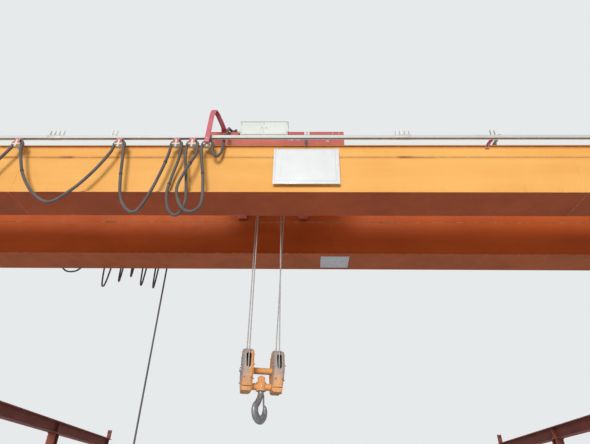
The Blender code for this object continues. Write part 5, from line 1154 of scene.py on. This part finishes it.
def build_travel_drive_details():
    """Fins, grille, flange and case bolts of the two drives that move the bridge."""
    y, case_z, motor_z = BRIDGE_Y - 1.17, 4.455, 4.475
    for side, name in ((-1, "left"), (1, "right")):
        shape = Shape("machine")
        near, far, fan = (side * (9.39 - reach) for reach in (0.22, 0.50, 0.56))
        inward = -side * X
        low, high = (near - side * 0.02, 0.0742, -0.0018), (far, 0.081, 0.0018)
        add_fins(shape, y, motor_z, 24, low, high, 0.0008, (50, 130))
        add_grille(shape, (0.02, 0.038, 0.056, 0.070), 0.003, (fan, y, motor_z), inward, 32)
        for across in (-0.09, 0.09):
            for up in (-0.045, 0.045):
                shape.bolt((near, y + across, case_z + up), inward, 0.008, "zinc")
        flange = [(0.074, 0), (0.088, 0.002), (0.088, 0.012), (0.074, 0.014)]
        shape.turned(flange, (near, y, motor_z), inward, 32, ring=True)
        shape.piece(f"travel_drive_details_{name}", "bridge")


# Sheave housings


def carved(shape, cutters):
    """The shape's mesh with other shapes cut away from it."""
    def as_object(made):
        mesh = bpy.data.meshes.new("cut")
        made.bmesh.to_mesh(mesh)
        made.bmesh.free()
        holder = bpy.data.objects.new("cut", mesh)
        bpy.context.scene.collection.objects.link(holder)
        return holder

    whole = as_object(shape)
    tools = [as_object(cutter) for cutter in cutters]
    for tool in tools:
        modifier = whole.modifiers.new("cut", "BOOLEAN")
        modifier.operation, modifier.solver, modifier.object = "DIFFERENCE", "EXACT", tool
    done = whole.evaluated_get(bpy.context.evaluated_depsgraph_get())
    out = bmesh.new()
    out.from_mesh(done.to_mesh())
    done.to_mesh_clear()
    for holder in (whole, *tools):
        mesh = holder.data
        bpy.data.objects.remove(holder)
        bpy.data.meshes.remove(mesh)
    return out


def prism(outline, low, high, place, bevel, segments):
    """An outline of (across, up) pairs drawn out along the block's axle, its rims rounded."""
    made = bmesh.new()
    caps = join_rings(made, [[made.verts.new((along, v, z)) for v, z in outline] for along in (low, high)])
    soften(made, list({edge for cap in caps for edge in cap.edges}), bevel, segments, 0.5)
    bmesh.ops.transform(made, matrix=place, verts=made.verts)
    return made


def crowned(half, crown, rise, foot, foot_half, steps=14):
    """A sheave housing's outline: a round crown, straight flanks, and a foot that draws in."""
    shoulder, waist = 2.925, SHEAVE_Z
    angles = [math.pi * n / steps for n in range(steps + 1)]
    top = [(crown * math.cos(a), shoulder + rise * math.sin(a)) for a in angles]
    return [
        *top, (-half, waist + 0.025), (-half, waist - 0.025), (-foot_half, foot), (foot_half, foot),
        (half, waist - 0.025), (half, waist + 0.025),
    ]


def axle_rod(shape, start, end, z, radius, sides, look=None, bevel=0.0):
    """A rod along the block's axle, from its distances from the block's middle."""
    return shape.rod(at_block(start, 0, z), at_block(end, 0, z), radius, sides, look, bevel)


# Where the screws of a cheek plate sit: across the block, and height
CHEEK_SCREWS = (
    (0.0, 3.028), (-0.088, 2.985), (0.088, 2.985), (-0.162, 2.86), (0.162, 2.86), (-0.118, 2.72),
    (0.118, 2.72),
)


def build_housings():
    """Two housings carved out for sheave, ropes, axle and trunnion, with cheek plates and screws."""
    turn = Matrix.Translation((CRAB_X, BRIDGE_Y, 0)) @ Matrix.Rotation(BLOCK_TWIST, 4, "Z")
    cheek_thick = 0.0055
    for side, name in ((-1, "left"), (1, "right")):
        middle = side * SHEAVE_OFFSET
        low, high = middle - 0.0520, middle + 0.0520
        whole = prism(crowned(0.192, 0.166, 0.133, 2.604, 0.098), low, high, turn, 0.016, 4)
        cutters = [axle_rod(Shape("block"), middle - 0.0335, middle + 0.0335, SHEAVE_Z, 0.184, 64)]
        for face in (-1, 1):
            slot = []
            for a in (math.radians(15 + 30 * n) for n in range(12)):
                round_end, height = (0.029, 2.958) if math.sin(a) > 0 else (0.025, 2.844)
                slot.append((round_end * math.cos(a), height + round_end * math.sin(a)))
            made = bmesh.new()
            reach = (0.066, 0.23)
            join_rings(made, [[made.verts.new((middle + u, face * v, z)) for u, z in slot] for v in reach])
            bmesh.ops.transform(made, matrix=turn, verts=made.verts)
            cutters.append(Shape("block").keep(made))
            groove = (low - 0.01, face * 0.095, 2.643), (high + 0.01, face * 0.21, 2.650)
            cutters.append(Shape("block").box(*groove, place=turn))
        bores = axle_rod(Shape("block"), middle - 0.08, middle + 0.08, SHEAVE_Z, 0.0305, 40)
        cutters.append(axle_rod(bores, side * 0.105, side * 0.1525, TRUNNION_Z, 0.0225, 32))
        shape = Shape("block").keep(carved(Shape("block").keep(whole, smooth=True), cutters), smooth=True)
        # Cheek plates on both faces, with a pointed foot outside, and the screws that hold them
        for face in (-1, 1):
            cheek = crowned(0.187, 0.161, 0.127, 2.612, 0.092)
            if face == side:
                cheek[-4:-2] = (-0.155, 2.74), (-0.020, 2.602), (0.020, 2.602), (0.155, 2.74)
            flat = middle + face * 0.0518
            ends = sorted((flat, flat + face * cheek_thick))
            plate = Shape("block").keep(prism(cheek, *ends, turn, 0.0015, 2))
            holes = axle_rod(Shape("block"), flat - 0.02, flat + 0.02, SHEAVE_Z, 0.0355, 40)
            axle_rod(holes, flat - 0.02, flat + 0.02, TRUNNION_Z, 0.0225, 32)
            shape.keep(carved(plate, [holes]))
            for v, z in CHEEK_SCREWS:
                shape.bolt(at_block(flat + face * cheek_thick, v, z), face * U, 0.0095, "forged", 0.006)
        for face in (-1, 1):
            slant = face * (V * 0.906 - Z * 0.42)
            for along in (-0.034, 0.034):
                shape.bolt(at_block(middle + along, face * 0.158, 2.725), slant, 0.0075, "forged")
        # Nut and lubricator on the axle's end, and the screws round axle and trunnion
        end = 0.2295
        for start, stop, radius, sides, look, bevel in (
            (end - 0.0065, end - SEAT_GAP, 0.050, 40, "block", 0.002),
            (end, end + 0.014, 0.027, 6, "forged", 0.003),
            (end + 0.014, end + 0.019, 0.007, 12, "bright", 0.001),
        ):
            axle_rod(shape, side * start, side * stop, SHEAVE_Z, radius, sides, look, bevel)
        axle_end = at_block(side * (end - SEAT_GAP), 0, SHEAVE_Z)
        shape.bolt_circle(axle_end, 0.041, V, 4, 45, side * U, 0.006, "forged")
        trunnion = at_block(side * 0.1074, 0, TRUNNION_Z)
        shape.bolt_circle(trunnion, 0.034, V, 4, 0, -side * U, 0.0045, "forged")
        shape.piece(f"sheave_housing_{name}", "hook_block", [f"block_housing_{name}"], sharp=30)


def build_sheave_details():
    """Collars and grease pin of the axle's tube, and the hubs and plugged holes of the sheaves."""
    tube = Shape("block")
    for along in (-0.100, 0.100):
        tube.collar(0.034, 0.040, 0.004, at_block(along, 0, SHEAVE_Z), U, 40)
    pin = at_block(0, 0, SHEAVE_Z - 0.029), at_block(0, 0, SHEAVE_Z - 0.044)
    tube.rod(*pin, 0.006, 10, "bright", bevel=0.001)
    tube.piece("axle_tube_collars", "hook_block")
    rim = [(0.062, 0), (0.074, 0.001), (0.076, 0.005), (0.062, 0.006)]
    plug = [(0.0, 0.001), (0.014, 0.001), (0.017, 0.003), (0.019, 0.001), (0.019, -0.001), (0.0, -0.001)]
    for side, name in ((-1, "left"), (1, "right")):
        hub = Shape("rolled")
        centre = at_block(side * SHEAVE_OFFSET, 0, SHEAVE_Z)
        for face in (-1, 1):
            hub.turned(rim, centre + face * U * 0.0145, face * U, 40, ring=True)
            for spot in arc(centre + face * U * 0.0155, 0.105, V, Z, 0, 360, 6)[:-1]:
                hub.turned(plug, spot, face * U, 20, "black")
        hub.piece(f"sheave_hub_{name}", f"{name}_sheave")


# Boards, tracks and the pendant

RIVET = [(0, 0.0032), (0.004, 0.0028), (0.0062, 0.0008), (0.0064, 0.0)]


def build_boards():
    """The notice board's face with its frame line and its lug, and the plate's face under the girder."""
    front, lug_x, lug_z = -9.0797, 0.034, 5.222
    board = Shape("board")
    left, right, low, high = -0.352, 0.415, 4.645, 5.170
    board.box((left, front - 0.0062, low), (right, front - 0.0004, high), bevel=0.0012)
    edge = [
        (left + 0.004, low + 0.004), (right - 0.004, low + 0.004), (right - 0.004, high - 0.004),
        (left + 0.004, high - 0.004),
    ]
    bend = evenly([(x, front - 0.0064, z) for x, z in [*edge, edge[0]]], 0.03)[:-1]
    board.tube(bend, 0.0022, 8, "white", closed=True)
    inset = [
        (x + (0.024 if x < 0 else -0.024), z + (0.024 if z < BOARD_Z else -0.024)) for x, z in edge
    ]
    for (x0, z0), (x1, z1) in zip(inset, inset[1:] + inset[:1]):
        start = min(x0, x1) - 0.0013, front - 0.0068, min(z0, z1) - 0.0013
        board.box(start, (max(x0, x1) + 0.0013, front - 0.0060, max(z0, z1) + 0.0013), "plate")
    for x in (left + 0.016, right - 0.016):
        for z in (low + 0.016, BOARD_Z, high - 0.016):
            board.turned(RIVET, (x, front - 0.0060, z), -Y, 20, "zinc")
    button = [(0, 0.004), (0.008, 0.0036), (0.013, 0.0010), (0.0132, 0.0)]
    board.turned(button, (lug_x, front - SEAT_GAP, lug_z), -Y, 20, "oxide")
    peg = (lug_x, front - 0.003, lug_z), (lug_x, front - 0.016, lug_z - 0.003)
    board.rod(*peg, 0.006, 12, "oxide", bevel=0.001)
    board.piece("notice_board_face", "bridge", ["notice_board"])

    plate = Shape("plate")
    under = GIRDER_LOW - 0.0043
    low = 0.247, BRIDGE_Y + 0.552, under - 0.0022
    plate.box(low, (0.643, BRIDGE_Y + 0.888, under + 0.001), bevel=0.0008)
    for x in (0.262, 0.628):
        for y in (BRIDGE_Y + 0.568, BRIDGE_Y + 0.872):
            plate.turned(RIVET, (x, y, under - 0.002), -Z, 20, "zinc")
    plate.piece("direction_plate_face", "bridge")


def build_track_fittings():
    """Sleeves, bracket bolts, clips and end stops on both cable tracks, and the painted strap."""
    sleeve = TRACK_LOW - 0.0005, TRACK_HIGH + 0.0035
    top = TRACK_HIGH + 0.0005
    screw_z, bracket_z = TRACK_HIGH + 0.0040, TRACK_HIGH + 0.0080
    for y, side, name, joints in (
        (TRACK_Y, -1, "festoon", (-6.20, -2.987, 1.18, 4.70)), (PENDANT_Y, 1, "pendant", (-6.0, -0.4, 5.2))
    ):
        shape = Shape("zinc")
        # Sleeves over the joints of the track, each with its clamping screws
        for x in joints:
            for near, far in ((-0.0235, -0.0200), (0.0200, 0.0235)):
                shape.box((x - 0.085, y + near, sleeve[0]), (x + 0.085, y + far, sleeve[1]), bevel=0.001)
            shape.slab(x, y, (0.085, 0.0235), (top, screw_z), bevel=0.001)
            for k in range(4):
                screw_x = x - 0.066 + 0.044 * k
                shape.bolt((screw_x, y, screw_z), Z, 0.0075, "white", 0.010)
                if side < 0:
                    shape.slab(x - 0.076 + 0.0535 * k, y, (0.014, 0.016), (screw_z, 5.386), "white", 0.003)
                shape.bolt((screw_x, y + side * 0.0235, 5.281), (0, side, 0), 0.006, "zinc")
        for n in range(-3, 4):
            x, inner = 0.03 + 2.27 * n, BRIDGE_Y + side * 0.89
            for bolt_y in (y, inner + side * 0.014):
                shape.bolt((x, bolt_y, bracket_z), Z, 0.009, "zinc", 0.006)
            rib = (x - 0.004, inner + side * 0.03, 5.2525), (x + 0.004, inner + side * 0.075, top)
            shape.box(*rib, bevel=0.001)
            shape.box((x - 0.017, y - 0.026, top), (x + 0.017, y - 0.0205, TRACK_HIGH + 0.0075), bevel=0.001)
        if side < 0:
            # White clips that stand on the track
            for x in (-2.306, -2.256, 2.226, 2.274):
                shape.slab(x, y, (0.013, 0.016), (TRACK_HIGH + SEAT_GAP, 5.392), "white", 0.003)
            for x in (0.018, 0.060):
                shape.slab(x, y, (0.009, 0.014), (TRACK_HIGH + 0.0085, 5.378), "white", 0.002)
            shape.slab(0.039, y, (0.027, 0.010), (5.334, 5.350), "white", 0.002)
            # A painted strap from the track down to the edge of the girder
            edge = BRIDGE_Y - 0.9605
            strap = [
                (2.258, y + 0.012, 5.3085), (2.252, y + 0.030, 5.304), (2.205, edge - 0.020, 5.262),
                (2.186, edge - 0.003, 5.236), (2.182, edge - 0.0025, 5.205),
            ]
            corners = (-0.022, -0.002), (0.022, -0.002), (0.022, 0.002), (-0.022, 0.002)
            rings = [[Vector(spot) + X * a + Z * b for a, b in corners] for spot in strap]
            shape.loft(rings, "arm red", smooth=False)
            shape.bolt((2.182, edge - 0.003, 5.222), -Y, 0.012, "oxide", 0.008)
        for start, end in ((-8.799, -8.797), (8.793, 8.803)):
            shape.box((start, y - 0.024, 5.256), (end, y + 0.024, 5.305), "white", 0.002)
        shape.piece(f"{name}_track_fittings", "bridge")


def build_pendant_loops():
    """The rear cable in its loops, and the clamps of its carriers; gives the x of the cable's drop."""
    y, points = PENDANT_Y, []
    for n, x in enumerate(PENDANT_CARRIERS):
        points.append((x - PENDANT_RISE, y, SADDLE_Z - SADDLE_DIP))
        points += arc((x, y, SADDLE_Z), PENDANT_RISE, -X, Z, 10, 170, 2 * SADDLE_STEPS)
        points.append((x + PENDANT_RISE, y, SADDLE_Z - SADDLE_DIP))
        if n < len(PENDANT_DEPTHS):
            loop = even_loop(x, PENDANT_CARRIERS[n + 1], PENDANT_DEPTHS[n])
            points += [(loop_x, y, loop_z) for loop_x, loop_z, _ in loop]
    last = PENDANT_CARRIERS[-1] + PENDANT_RISE
    points = [*points[:-1], (last, y, SADDLE_Z - CABLE_DIP / 2), (last, y, SADDLE_Z - CABLE_DIP)]
    cable = Shape("sheath").tube(smooth_route(points, 0.03), PENDANT_RADIUS, 12)
    cable.piece("pendant_loops", "bridge", ["pendant_festoon_cable"])
    clamps = Shape("cream")
    for x in PENDANT_CARRIERS:
        for side in (-1, 1):
            cheek, out = y + side * CHEEK_OFFSET, (0, side, 0)
            clamps.slab(x, cheek, (0.030, 0.003), (5.150, 5.252), bevel=0.002)
            low = x - 0.010, cheek + side * 0.003, 5.118
            clamps.box(low, (x + 0.010, cheek + side * 0.007, 5.216), bevel=0.0015)
            clamps.bolt((x, cheek + side * 0.007, 5.205), out, 0.007, "zinc")
            clamps.bolt((x, cheek + side * 0.007, 5.130), out, 0.006, "zinc")
        add_strap(clamps, x, y, PENDANT_RISE + PENDANT_RADIUS + 0.002, 30, 150, 14)
    clamps.piece("pendant_clamps", "bridge")
    return last


def build_gland(x, y, top):
    """The rubber gland that the pendant cable hangs from."""
    shape = Shape("black")
    profile = [
        (0.0126, 0), (0.017, 0.0), (0.0195, 0.004), (0.0195, 0.022), (0.0165, 0.026), (0.0165, 0.030),
        (0.0178, 0.032), (0.0178, 0.038), (0.0150, 0.048), (0.0140, 0.060), (0.0135, 0.0698),
        (0.0122, 0.0698),
    ]
    shape.turned(profile, (x, y, top), -Z, 32, ring=True)
    shape.rod((x, y, top - 0.001), (x, y, top - 0.069), 0.0127, 24)
    for spot in arc((x, y, top - 0.005), 0.0192, X, Y, 0, 360, 8)[:-1]:
        shape.rod(spot, spot - Z * 0.016, 0.0016, 8)
    return shape.piece("pendant_gland_nut", "bridge", ["pendant_gland"])


def build_station_fittings(x, y):
    """Seam, screws, push buttons, cable sleeve and ring of the pendant station."""
    shape = Shape("yellow")
    rim = [(-0.050, 1.004), (0.050, 1.004), (0.050, 1.296), (-0.050, 1.296)]
    seam = evenly([(x + across, y + 0.0015, z) for across, z in [*rim, rim[0]]], 0.01)[:-1]
    shape.tube(seam, 0.0026, 8, "black", closed=True)
    for across in (-0.043, 0.043):
        for z in (1.012, 1.288):
            screw = (x + across, y - 0.0418, z), (x + across, y - 0.0448, z)
            shape.rod(*screw, 0.0042, 16, "zinc", bevel=0.0008)
    bezel = [(0.0135, 0.0), (0.0188, 0.0), (0.0182, 0.0035), (0.0150, 0.0050), (0.0135, 0.0050)]
    colours = ("red button", "green button", "white button", "black", "white button", "black")
    for n, colour in enumerate(colours):
        z = STATION_TOP - 0.05 - 0.04 * n
        shape.turned(bezel, (x, y - 0.0422, z), -Y, 32, "black", ring=True)
        head = 0.0182 if n == 0 else 0.0156
        button = [
            (0.0156, 0.0), (0.0156, 0.0095), (head, 0.0105), (head, 0.0135), (head * 0.8, 0.0165),
            (0.0, 0.0172),
        ]
        shape.turned(button, (x, y - 0.0425, z), -Y, 32, colour)
    sleeve = [
        (0.0265, 0.0), (0.0265, 0.008), (0.022, 0.012), (0.0215, 0.030), (0.019, 0.034), (0.0165, 0.058),
        (0.0124, 0.0598), (0.0, 0.0598),
    ]
    shape.turned(sleeve, (x, y, STATION_TOP + 0.0005), Z, 32, "black")
    for n in range(5):
        r = 0.0185 - 0.0008 * n
        rib = [(r, -0.0016), (r + 0.0013, 0.0), (r, 0.0016)]
        shape.turned(rib, (x, y, 1.337 + 0.0045 * n), Z, 32, "black", ring=True)
    ring = arc((x, y + 0.020, 1.312), 0.012, X, Z, 0, 360, 24)[:-1]
    shape.tube(ring, 0.002, 8, "zinc", closed=True)
    shape.piece("station_fittings", "bridge")


def build_pendant():
    """The cord from its gland on the rear track down to the station's sleeve, with what it carries."""
    last = build_pendant_loops()
    gland_length, sleeve_length, count = 0.07, 0.06, 36
    gland_top = SADDLE_Z - CABLE_DIP - SEAT_GAP
    gland = build_gland(last, PENDANT_Y, gland_top)
    top = gland_top - gland_length - SEAT_GAP
    foot = STATION_TOP + sleeve_length + SEAT_GAP
    drop = [(last, PENDANT_Y, top + (foot - top) * n / count) for n in range(count + 1)]
    cable = Shape("sheath").tube(drop, PENDANT_RADIUS, 16).piece("pendant_drop", "bridge", ["pendant_cable"])
    build_station_fittings(last, PENDANT_Y)


build_trolleys()
build_rope()
build_housings()
build_sheave_details()
build_hook()
build_crosshead()
build_panel()
build_towing_arm()
build_hoist_details()
build_crab_drive_details()
build_travel_drive_details()
build_boards()
build_track_fittings()
build_pendant()


# Welds, bolts and wear on the big members


def bead(shape, start, end, size=0.004, step=0.35):
    """A fillet weld laid along an edge, its size wavering as it was laid."""
    start, end = Vector(start), Vector(end)
    count = max(2, int((end - start).length / step) + 1)
    points = [start.lerp(end, n / (count - 1)) for n in range(count)]
    radii = [size * (1 + 0.16 * math.sin(2.3 * n) + 0.10 * math.sin(5.1 * n + 1)) for n in range(count)]
    shape.tube(points, size, 6, radii=radii)


def build_girder_welds():
    """Fillet welds along the flanges and the strake, and the butt welds where the web plates meet."""
    long, foot, hatch_z = GIRDER_HALF - 0.02, GIRDER_HALF - 1.02, (4.682 + GIRDER_HIGH) / 2
    for name, y, look, joints in (
        ("front_girder_welds", BRIDGE_Y - GAUGE / 2, "near girder", (-3.35, 3.15)),
        ("rear_girder_welds", BRIDGE_Y + GAUGE / 2, "far girder in painted shade", (-5.70, 0.398, 6.20)),
    ):
        shape = Shape(look)
        for side in (-1, 1):
            face = y + side * (GIRDER_WIDTH / 2 - OVERHANG)
            seams = [(foot, 0.001, GIRDER_LOW + 0.0135, 0.004), (long, 0.005, GIRDER_HIGH - 0.0135, 0.004)]
            if side > 0 or name.startswith("front"):
                seams.append((long, 0.001, STRAKE_SEAM - 0.0015, 0.0034))
            for reach, gap, z, size in seams:
                bead(shape, (-reach, face + side * gap, z), (reach, face + side * gap, z), size)
            for x in joints:
                bead(shape, (x, face, GIRDER_LOW + 0.014), (x, face, STRAKE_SEAM - 0.002), 0.0032, 0.06)
        wide = GIRDER_WIDTH / 2 - 0.006
        for x in joints:
            bead(shape, (x, y - wide, GIRDER_LOW), (x, y + wide, GIRDER_LOW), 0.0032, 0.06)
        # Covers over the hand holes in the ends
        for end in (-1, 1):
            middle = Vector((end * GIRDER_HALF, y, hatch_z))
            shape.disc(0.086, 0.006, middle, end * X, 40)
            shape.bolt_circle(middle + end * 0.006 * X, 0.076, Y, 6, 0, end * X, 0.006, "zinc", 0.005)
        shape.piece(name, "bridge")


def build_crab_rail_clips():
    """Bolted clips that hold both crab rails down to the girders' top flanges."""
    clip, first, step = (GIRDER_HIGH + SEAT_GAP, GIRDER_HIGH + 0.013), -8.74, 0.76
    for name, y in (("front", BRIDGE_Y - GAUGE / 2), ("rear", BRIDGE_Y + GAUGE / 2)):
        shape = Shape("bright")
        for x in (first + step * n for n in range(24)):
            for side in (-1, 1):
                low = x - 0.028, y + side * 0.0205, clip[0]
                shape.box(low, (x + 0.028, y + side * 0.078, clip[1]), "oxide", 0.0015)
                shape.bolt((x, y + side * 0.052, clip[1]), Z, 0.011, "zinc", 0.010)
        shape.piece(f"{name}_crab_rail_clips", "bridge")


def build_end_carriage_details():
    """Bearing cover bolts, weld seams, inspection covers and the buffers' rubber pads."""
    wheel_base, axle_z, carriage_end, buffer_tip = 2.70, 4.382, 1.6003, 1.69
    bearing, web, plate_top = 0.128, 0.1101, 4.6800
    pad = [(0, 0.006), (0.036, 0.006), (0.043, 0.002), (0.0515, -0.008), (0.0515, -0.056), (0.0, -0.056)]
    socket = [(0.0495, 0), (0.066, 0), (0.066, 0.008), (0.062, 0.011), (0.0495, 0.011)]
    for name in ("left", "right"):
        low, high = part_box(f"end_carriage_{name}")
        shape = Shape("carriage")
        middle = (low[0] + high[0]) / 2
        for end in (-1, 1):
            for face in (-1, 1):
                cover = Vector((middle + face * bearing, BRIDGE_Y + end * wheel_base / 2, axle_z))
                shape.bolt_circle(cover, 0.034, Y, 4, 45, face * X, 0.0055, "zinc", 0.005)
                shape.disc(0.016, 0.004, cover, face * X, 24, "zinc")
            shape.turned(pad, (middle, BRIDGE_Y + end * buffer_tip, BUFFER_Z), end * Y, 32, "black")
            mount = middle, BRIDGE_Y + end * carriage_end, BUFFER_Z
            shape.turned(socket, mount, end * Y, 32, ring=True)
            shape.bolt_circle(mount, 0.082, X, 4, 45, end * Y, 0.008, "zinc", 0.007)
            # Bolts in the splice plates that tie each girder's end down to the carriage
            for face in (-1, 1):
                for aside in (-0.262, 0.262):
                    place = middle + face * 0.086, BRIDGE_Y + end * GAUGE / 2 + aside, plate_top
                    shape.bolt(place, Z, 0.011, "zinc", 0.009)
        for face in (-1, 1):
            x, seam_x = middle + face * web, middle + face * (web - 0.0005)
            outer = x + face * 0.005
            shape.box((x, BRIDGE_Y - 0.16, 4.42), (outer, BRIDGE_Y + 0.16, 4.60), bevel=0.0015)
            for y in (-0.14, 0, 0.14):
                for z in (4.44, 4.58):
                    shape.bolt((outer, BRIDGE_Y + y, z), face * X, 0.006, "zinc", 0.005)
            for z in (4.3305, 4.6795):
                bead(shape, (seam_x, BRIDGE_Y - 1.19, z), (seam_x, BRIDGE_Y + 1.19, z), 0.0030)
        shape.piece(f"{name}_end_carriage_details", "bridge")


def build_column_fixings(shape, low, high):
    """The bolts at a column's cap, its anchors, and the gussets and welds on its base plate."""
    x, y = (low[0] + high[0]) / 2, (low[1] + high[1]) / 2
    base, flange, cap = 0.0250, 3.8290, high[2] - 0.0200
    for dx in (-0.115, 0.115):
        for dy in (-0.115, 0.115):
            shape.bolt((x + dx, y + dy, flange), Z, 0.013, "zinc", 0.010)
            shape.bolt((x + dx, y + dy, cap), -Z, 0.013, "zinc", 0.014)
    anchor = [(0, 0.046), (0.010, 0.046), (0.012, 0.044), (0.012, 0.0), (0, 0.0)]
    for dx in (-0.192, 0.192):
        for dy in (-0.192, 0.192):
            foot, washer = (x + dx, y + dy, base), (x + dx, y + dy, base + 0.004)
            shape.turned(anchor, foot, Z, 16, "zinc")
            shape.rod(foot, washer, 0.026, 24, "zinc", bevel=0.001)
            shape.bolt(washer, Z, 0.018, "zinc", 0.016)
    gusset = [(0.1455, 0.0252), (0.222, 0.0252), (0.222, 0.040), (0.160, 0.155), (0.1455, 0.155)]
    for dx in (-1, 1):
        for dy in (-1, 1):
            made = bmesh.new()
            middle = y + dy * 0.105
            join_rings(made, [
                [made.verts.new((x + dx * a, middle + t, z)) for a, z in gusset] for t in (-0.005, 0.005)
            ])
            shape.keep(made)
    for dx in (-0.1455, 0.1455):
        bead(shape, (x + dx, y - 0.145, 0.0262), (x + dx, y + 0.145, 0.0262), 0.0045, 0.05)


def build_runway_details():
    """Rail clips, end stop pads and the bolts between beams, columns and floor."""
    clip, margin, spaces, stop = (4.2003, 4.2140), 0.45, 33, 0.12
    for name in ("left", "right"):
        low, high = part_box(f"runway_beam_{name}")
        middle = (low[0] + high[0]) / 2
        shape = Shape("bright")
        for n in range(spaces + 1):
            y = low[1] + margin + n * (high[1] - low[1] - 2 * margin) / spaces
            for face in (-1, 1):
                foot = middle + face * 0.0303, y - 0.030, clip[0]
                shape.box(foot, (middle + face * 0.092, y + 0.030, clip[1]), "oxide", 0.0015)
                shape.bolt((middle + face * 0.066, y, clip[1]), Z, 0.012, "zinc", 0.010)
        shape.piece(f"{name}_runway_rail_clips", "runway")
        ends = Shape("oxide")
        for y, inward in ((low[1] + stop, 0.018), (high[1] - stop, -0.018)):
            pad = (middle, y, BUFFER_Z), (middle, y + inward, BUFFER_Z)
            ends.rod(*pad, 0.052, 32, "black", bevel=0.004)
        for number in range(1, 6):
            build_column_fixings(ends, *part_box(f"column_{name}_{number}"))
        ends.piece(f"{name}_column_fixings", "runway")


def build_crab_details():
    """Bolts, seams and chipped marks on the crab's beams."""
    shape = Shape("crab red")
    front, rear = BRIDGE_Y - 0.7901, BRIDGE_Y + 0.7901
    low, high = 5.3705, 5.6295
    for face, out in ((front, -1), (rear, 1)):
        for z in (low + 0.001, high - 0.001):
            bead(shape, (-1.19, face + out * 0.0002, z), (0.50, face + out * 0.0002, z), 0.0026)
        for x in (-1.10, 0.41) if out > 0 else (0.41,):
            for z in (5.50, 5.60):
                for dx in (-0.04, 0.04):
                    shape.bolt((x + dx, face, z), out * Y, 0.008, "zinc", 0.006)
    for x in (-0.50, -0.16, 0.20):
        shape.box((x - 0.006, rear, low), (x + 0.006, rear + 0.022, high), bevel=0.001)
    # Pale chips on the front beam, each with a small bolt: x, z and half width
    for x, z, wide in (
        (-0.185, 5.492, 0.016), (-0.150, 5.486, 0.010), (-0.128, 5.496, 0.008), (-0.072, 5.490, 0.014),
        (0.030, 5.492, 0.010), (0.300, 5.470, 0.016),
    ):
        chip = (x - wide, front - 0.0035, z - 0.007), (x + wide, front - 0.0002, z + 0.007)
        shape.box(*chip, "white", 0.0012)
        shape.bolt((x, front - 0.0035, z), -Y, 0.005, "zinc", 0.004)
    shape.piece("crab_beam_details", "crab")


build_girder_welds()
build_crab_rail_clips()
build_end_carriage_details()
build_runway_details()
build_crab_details()
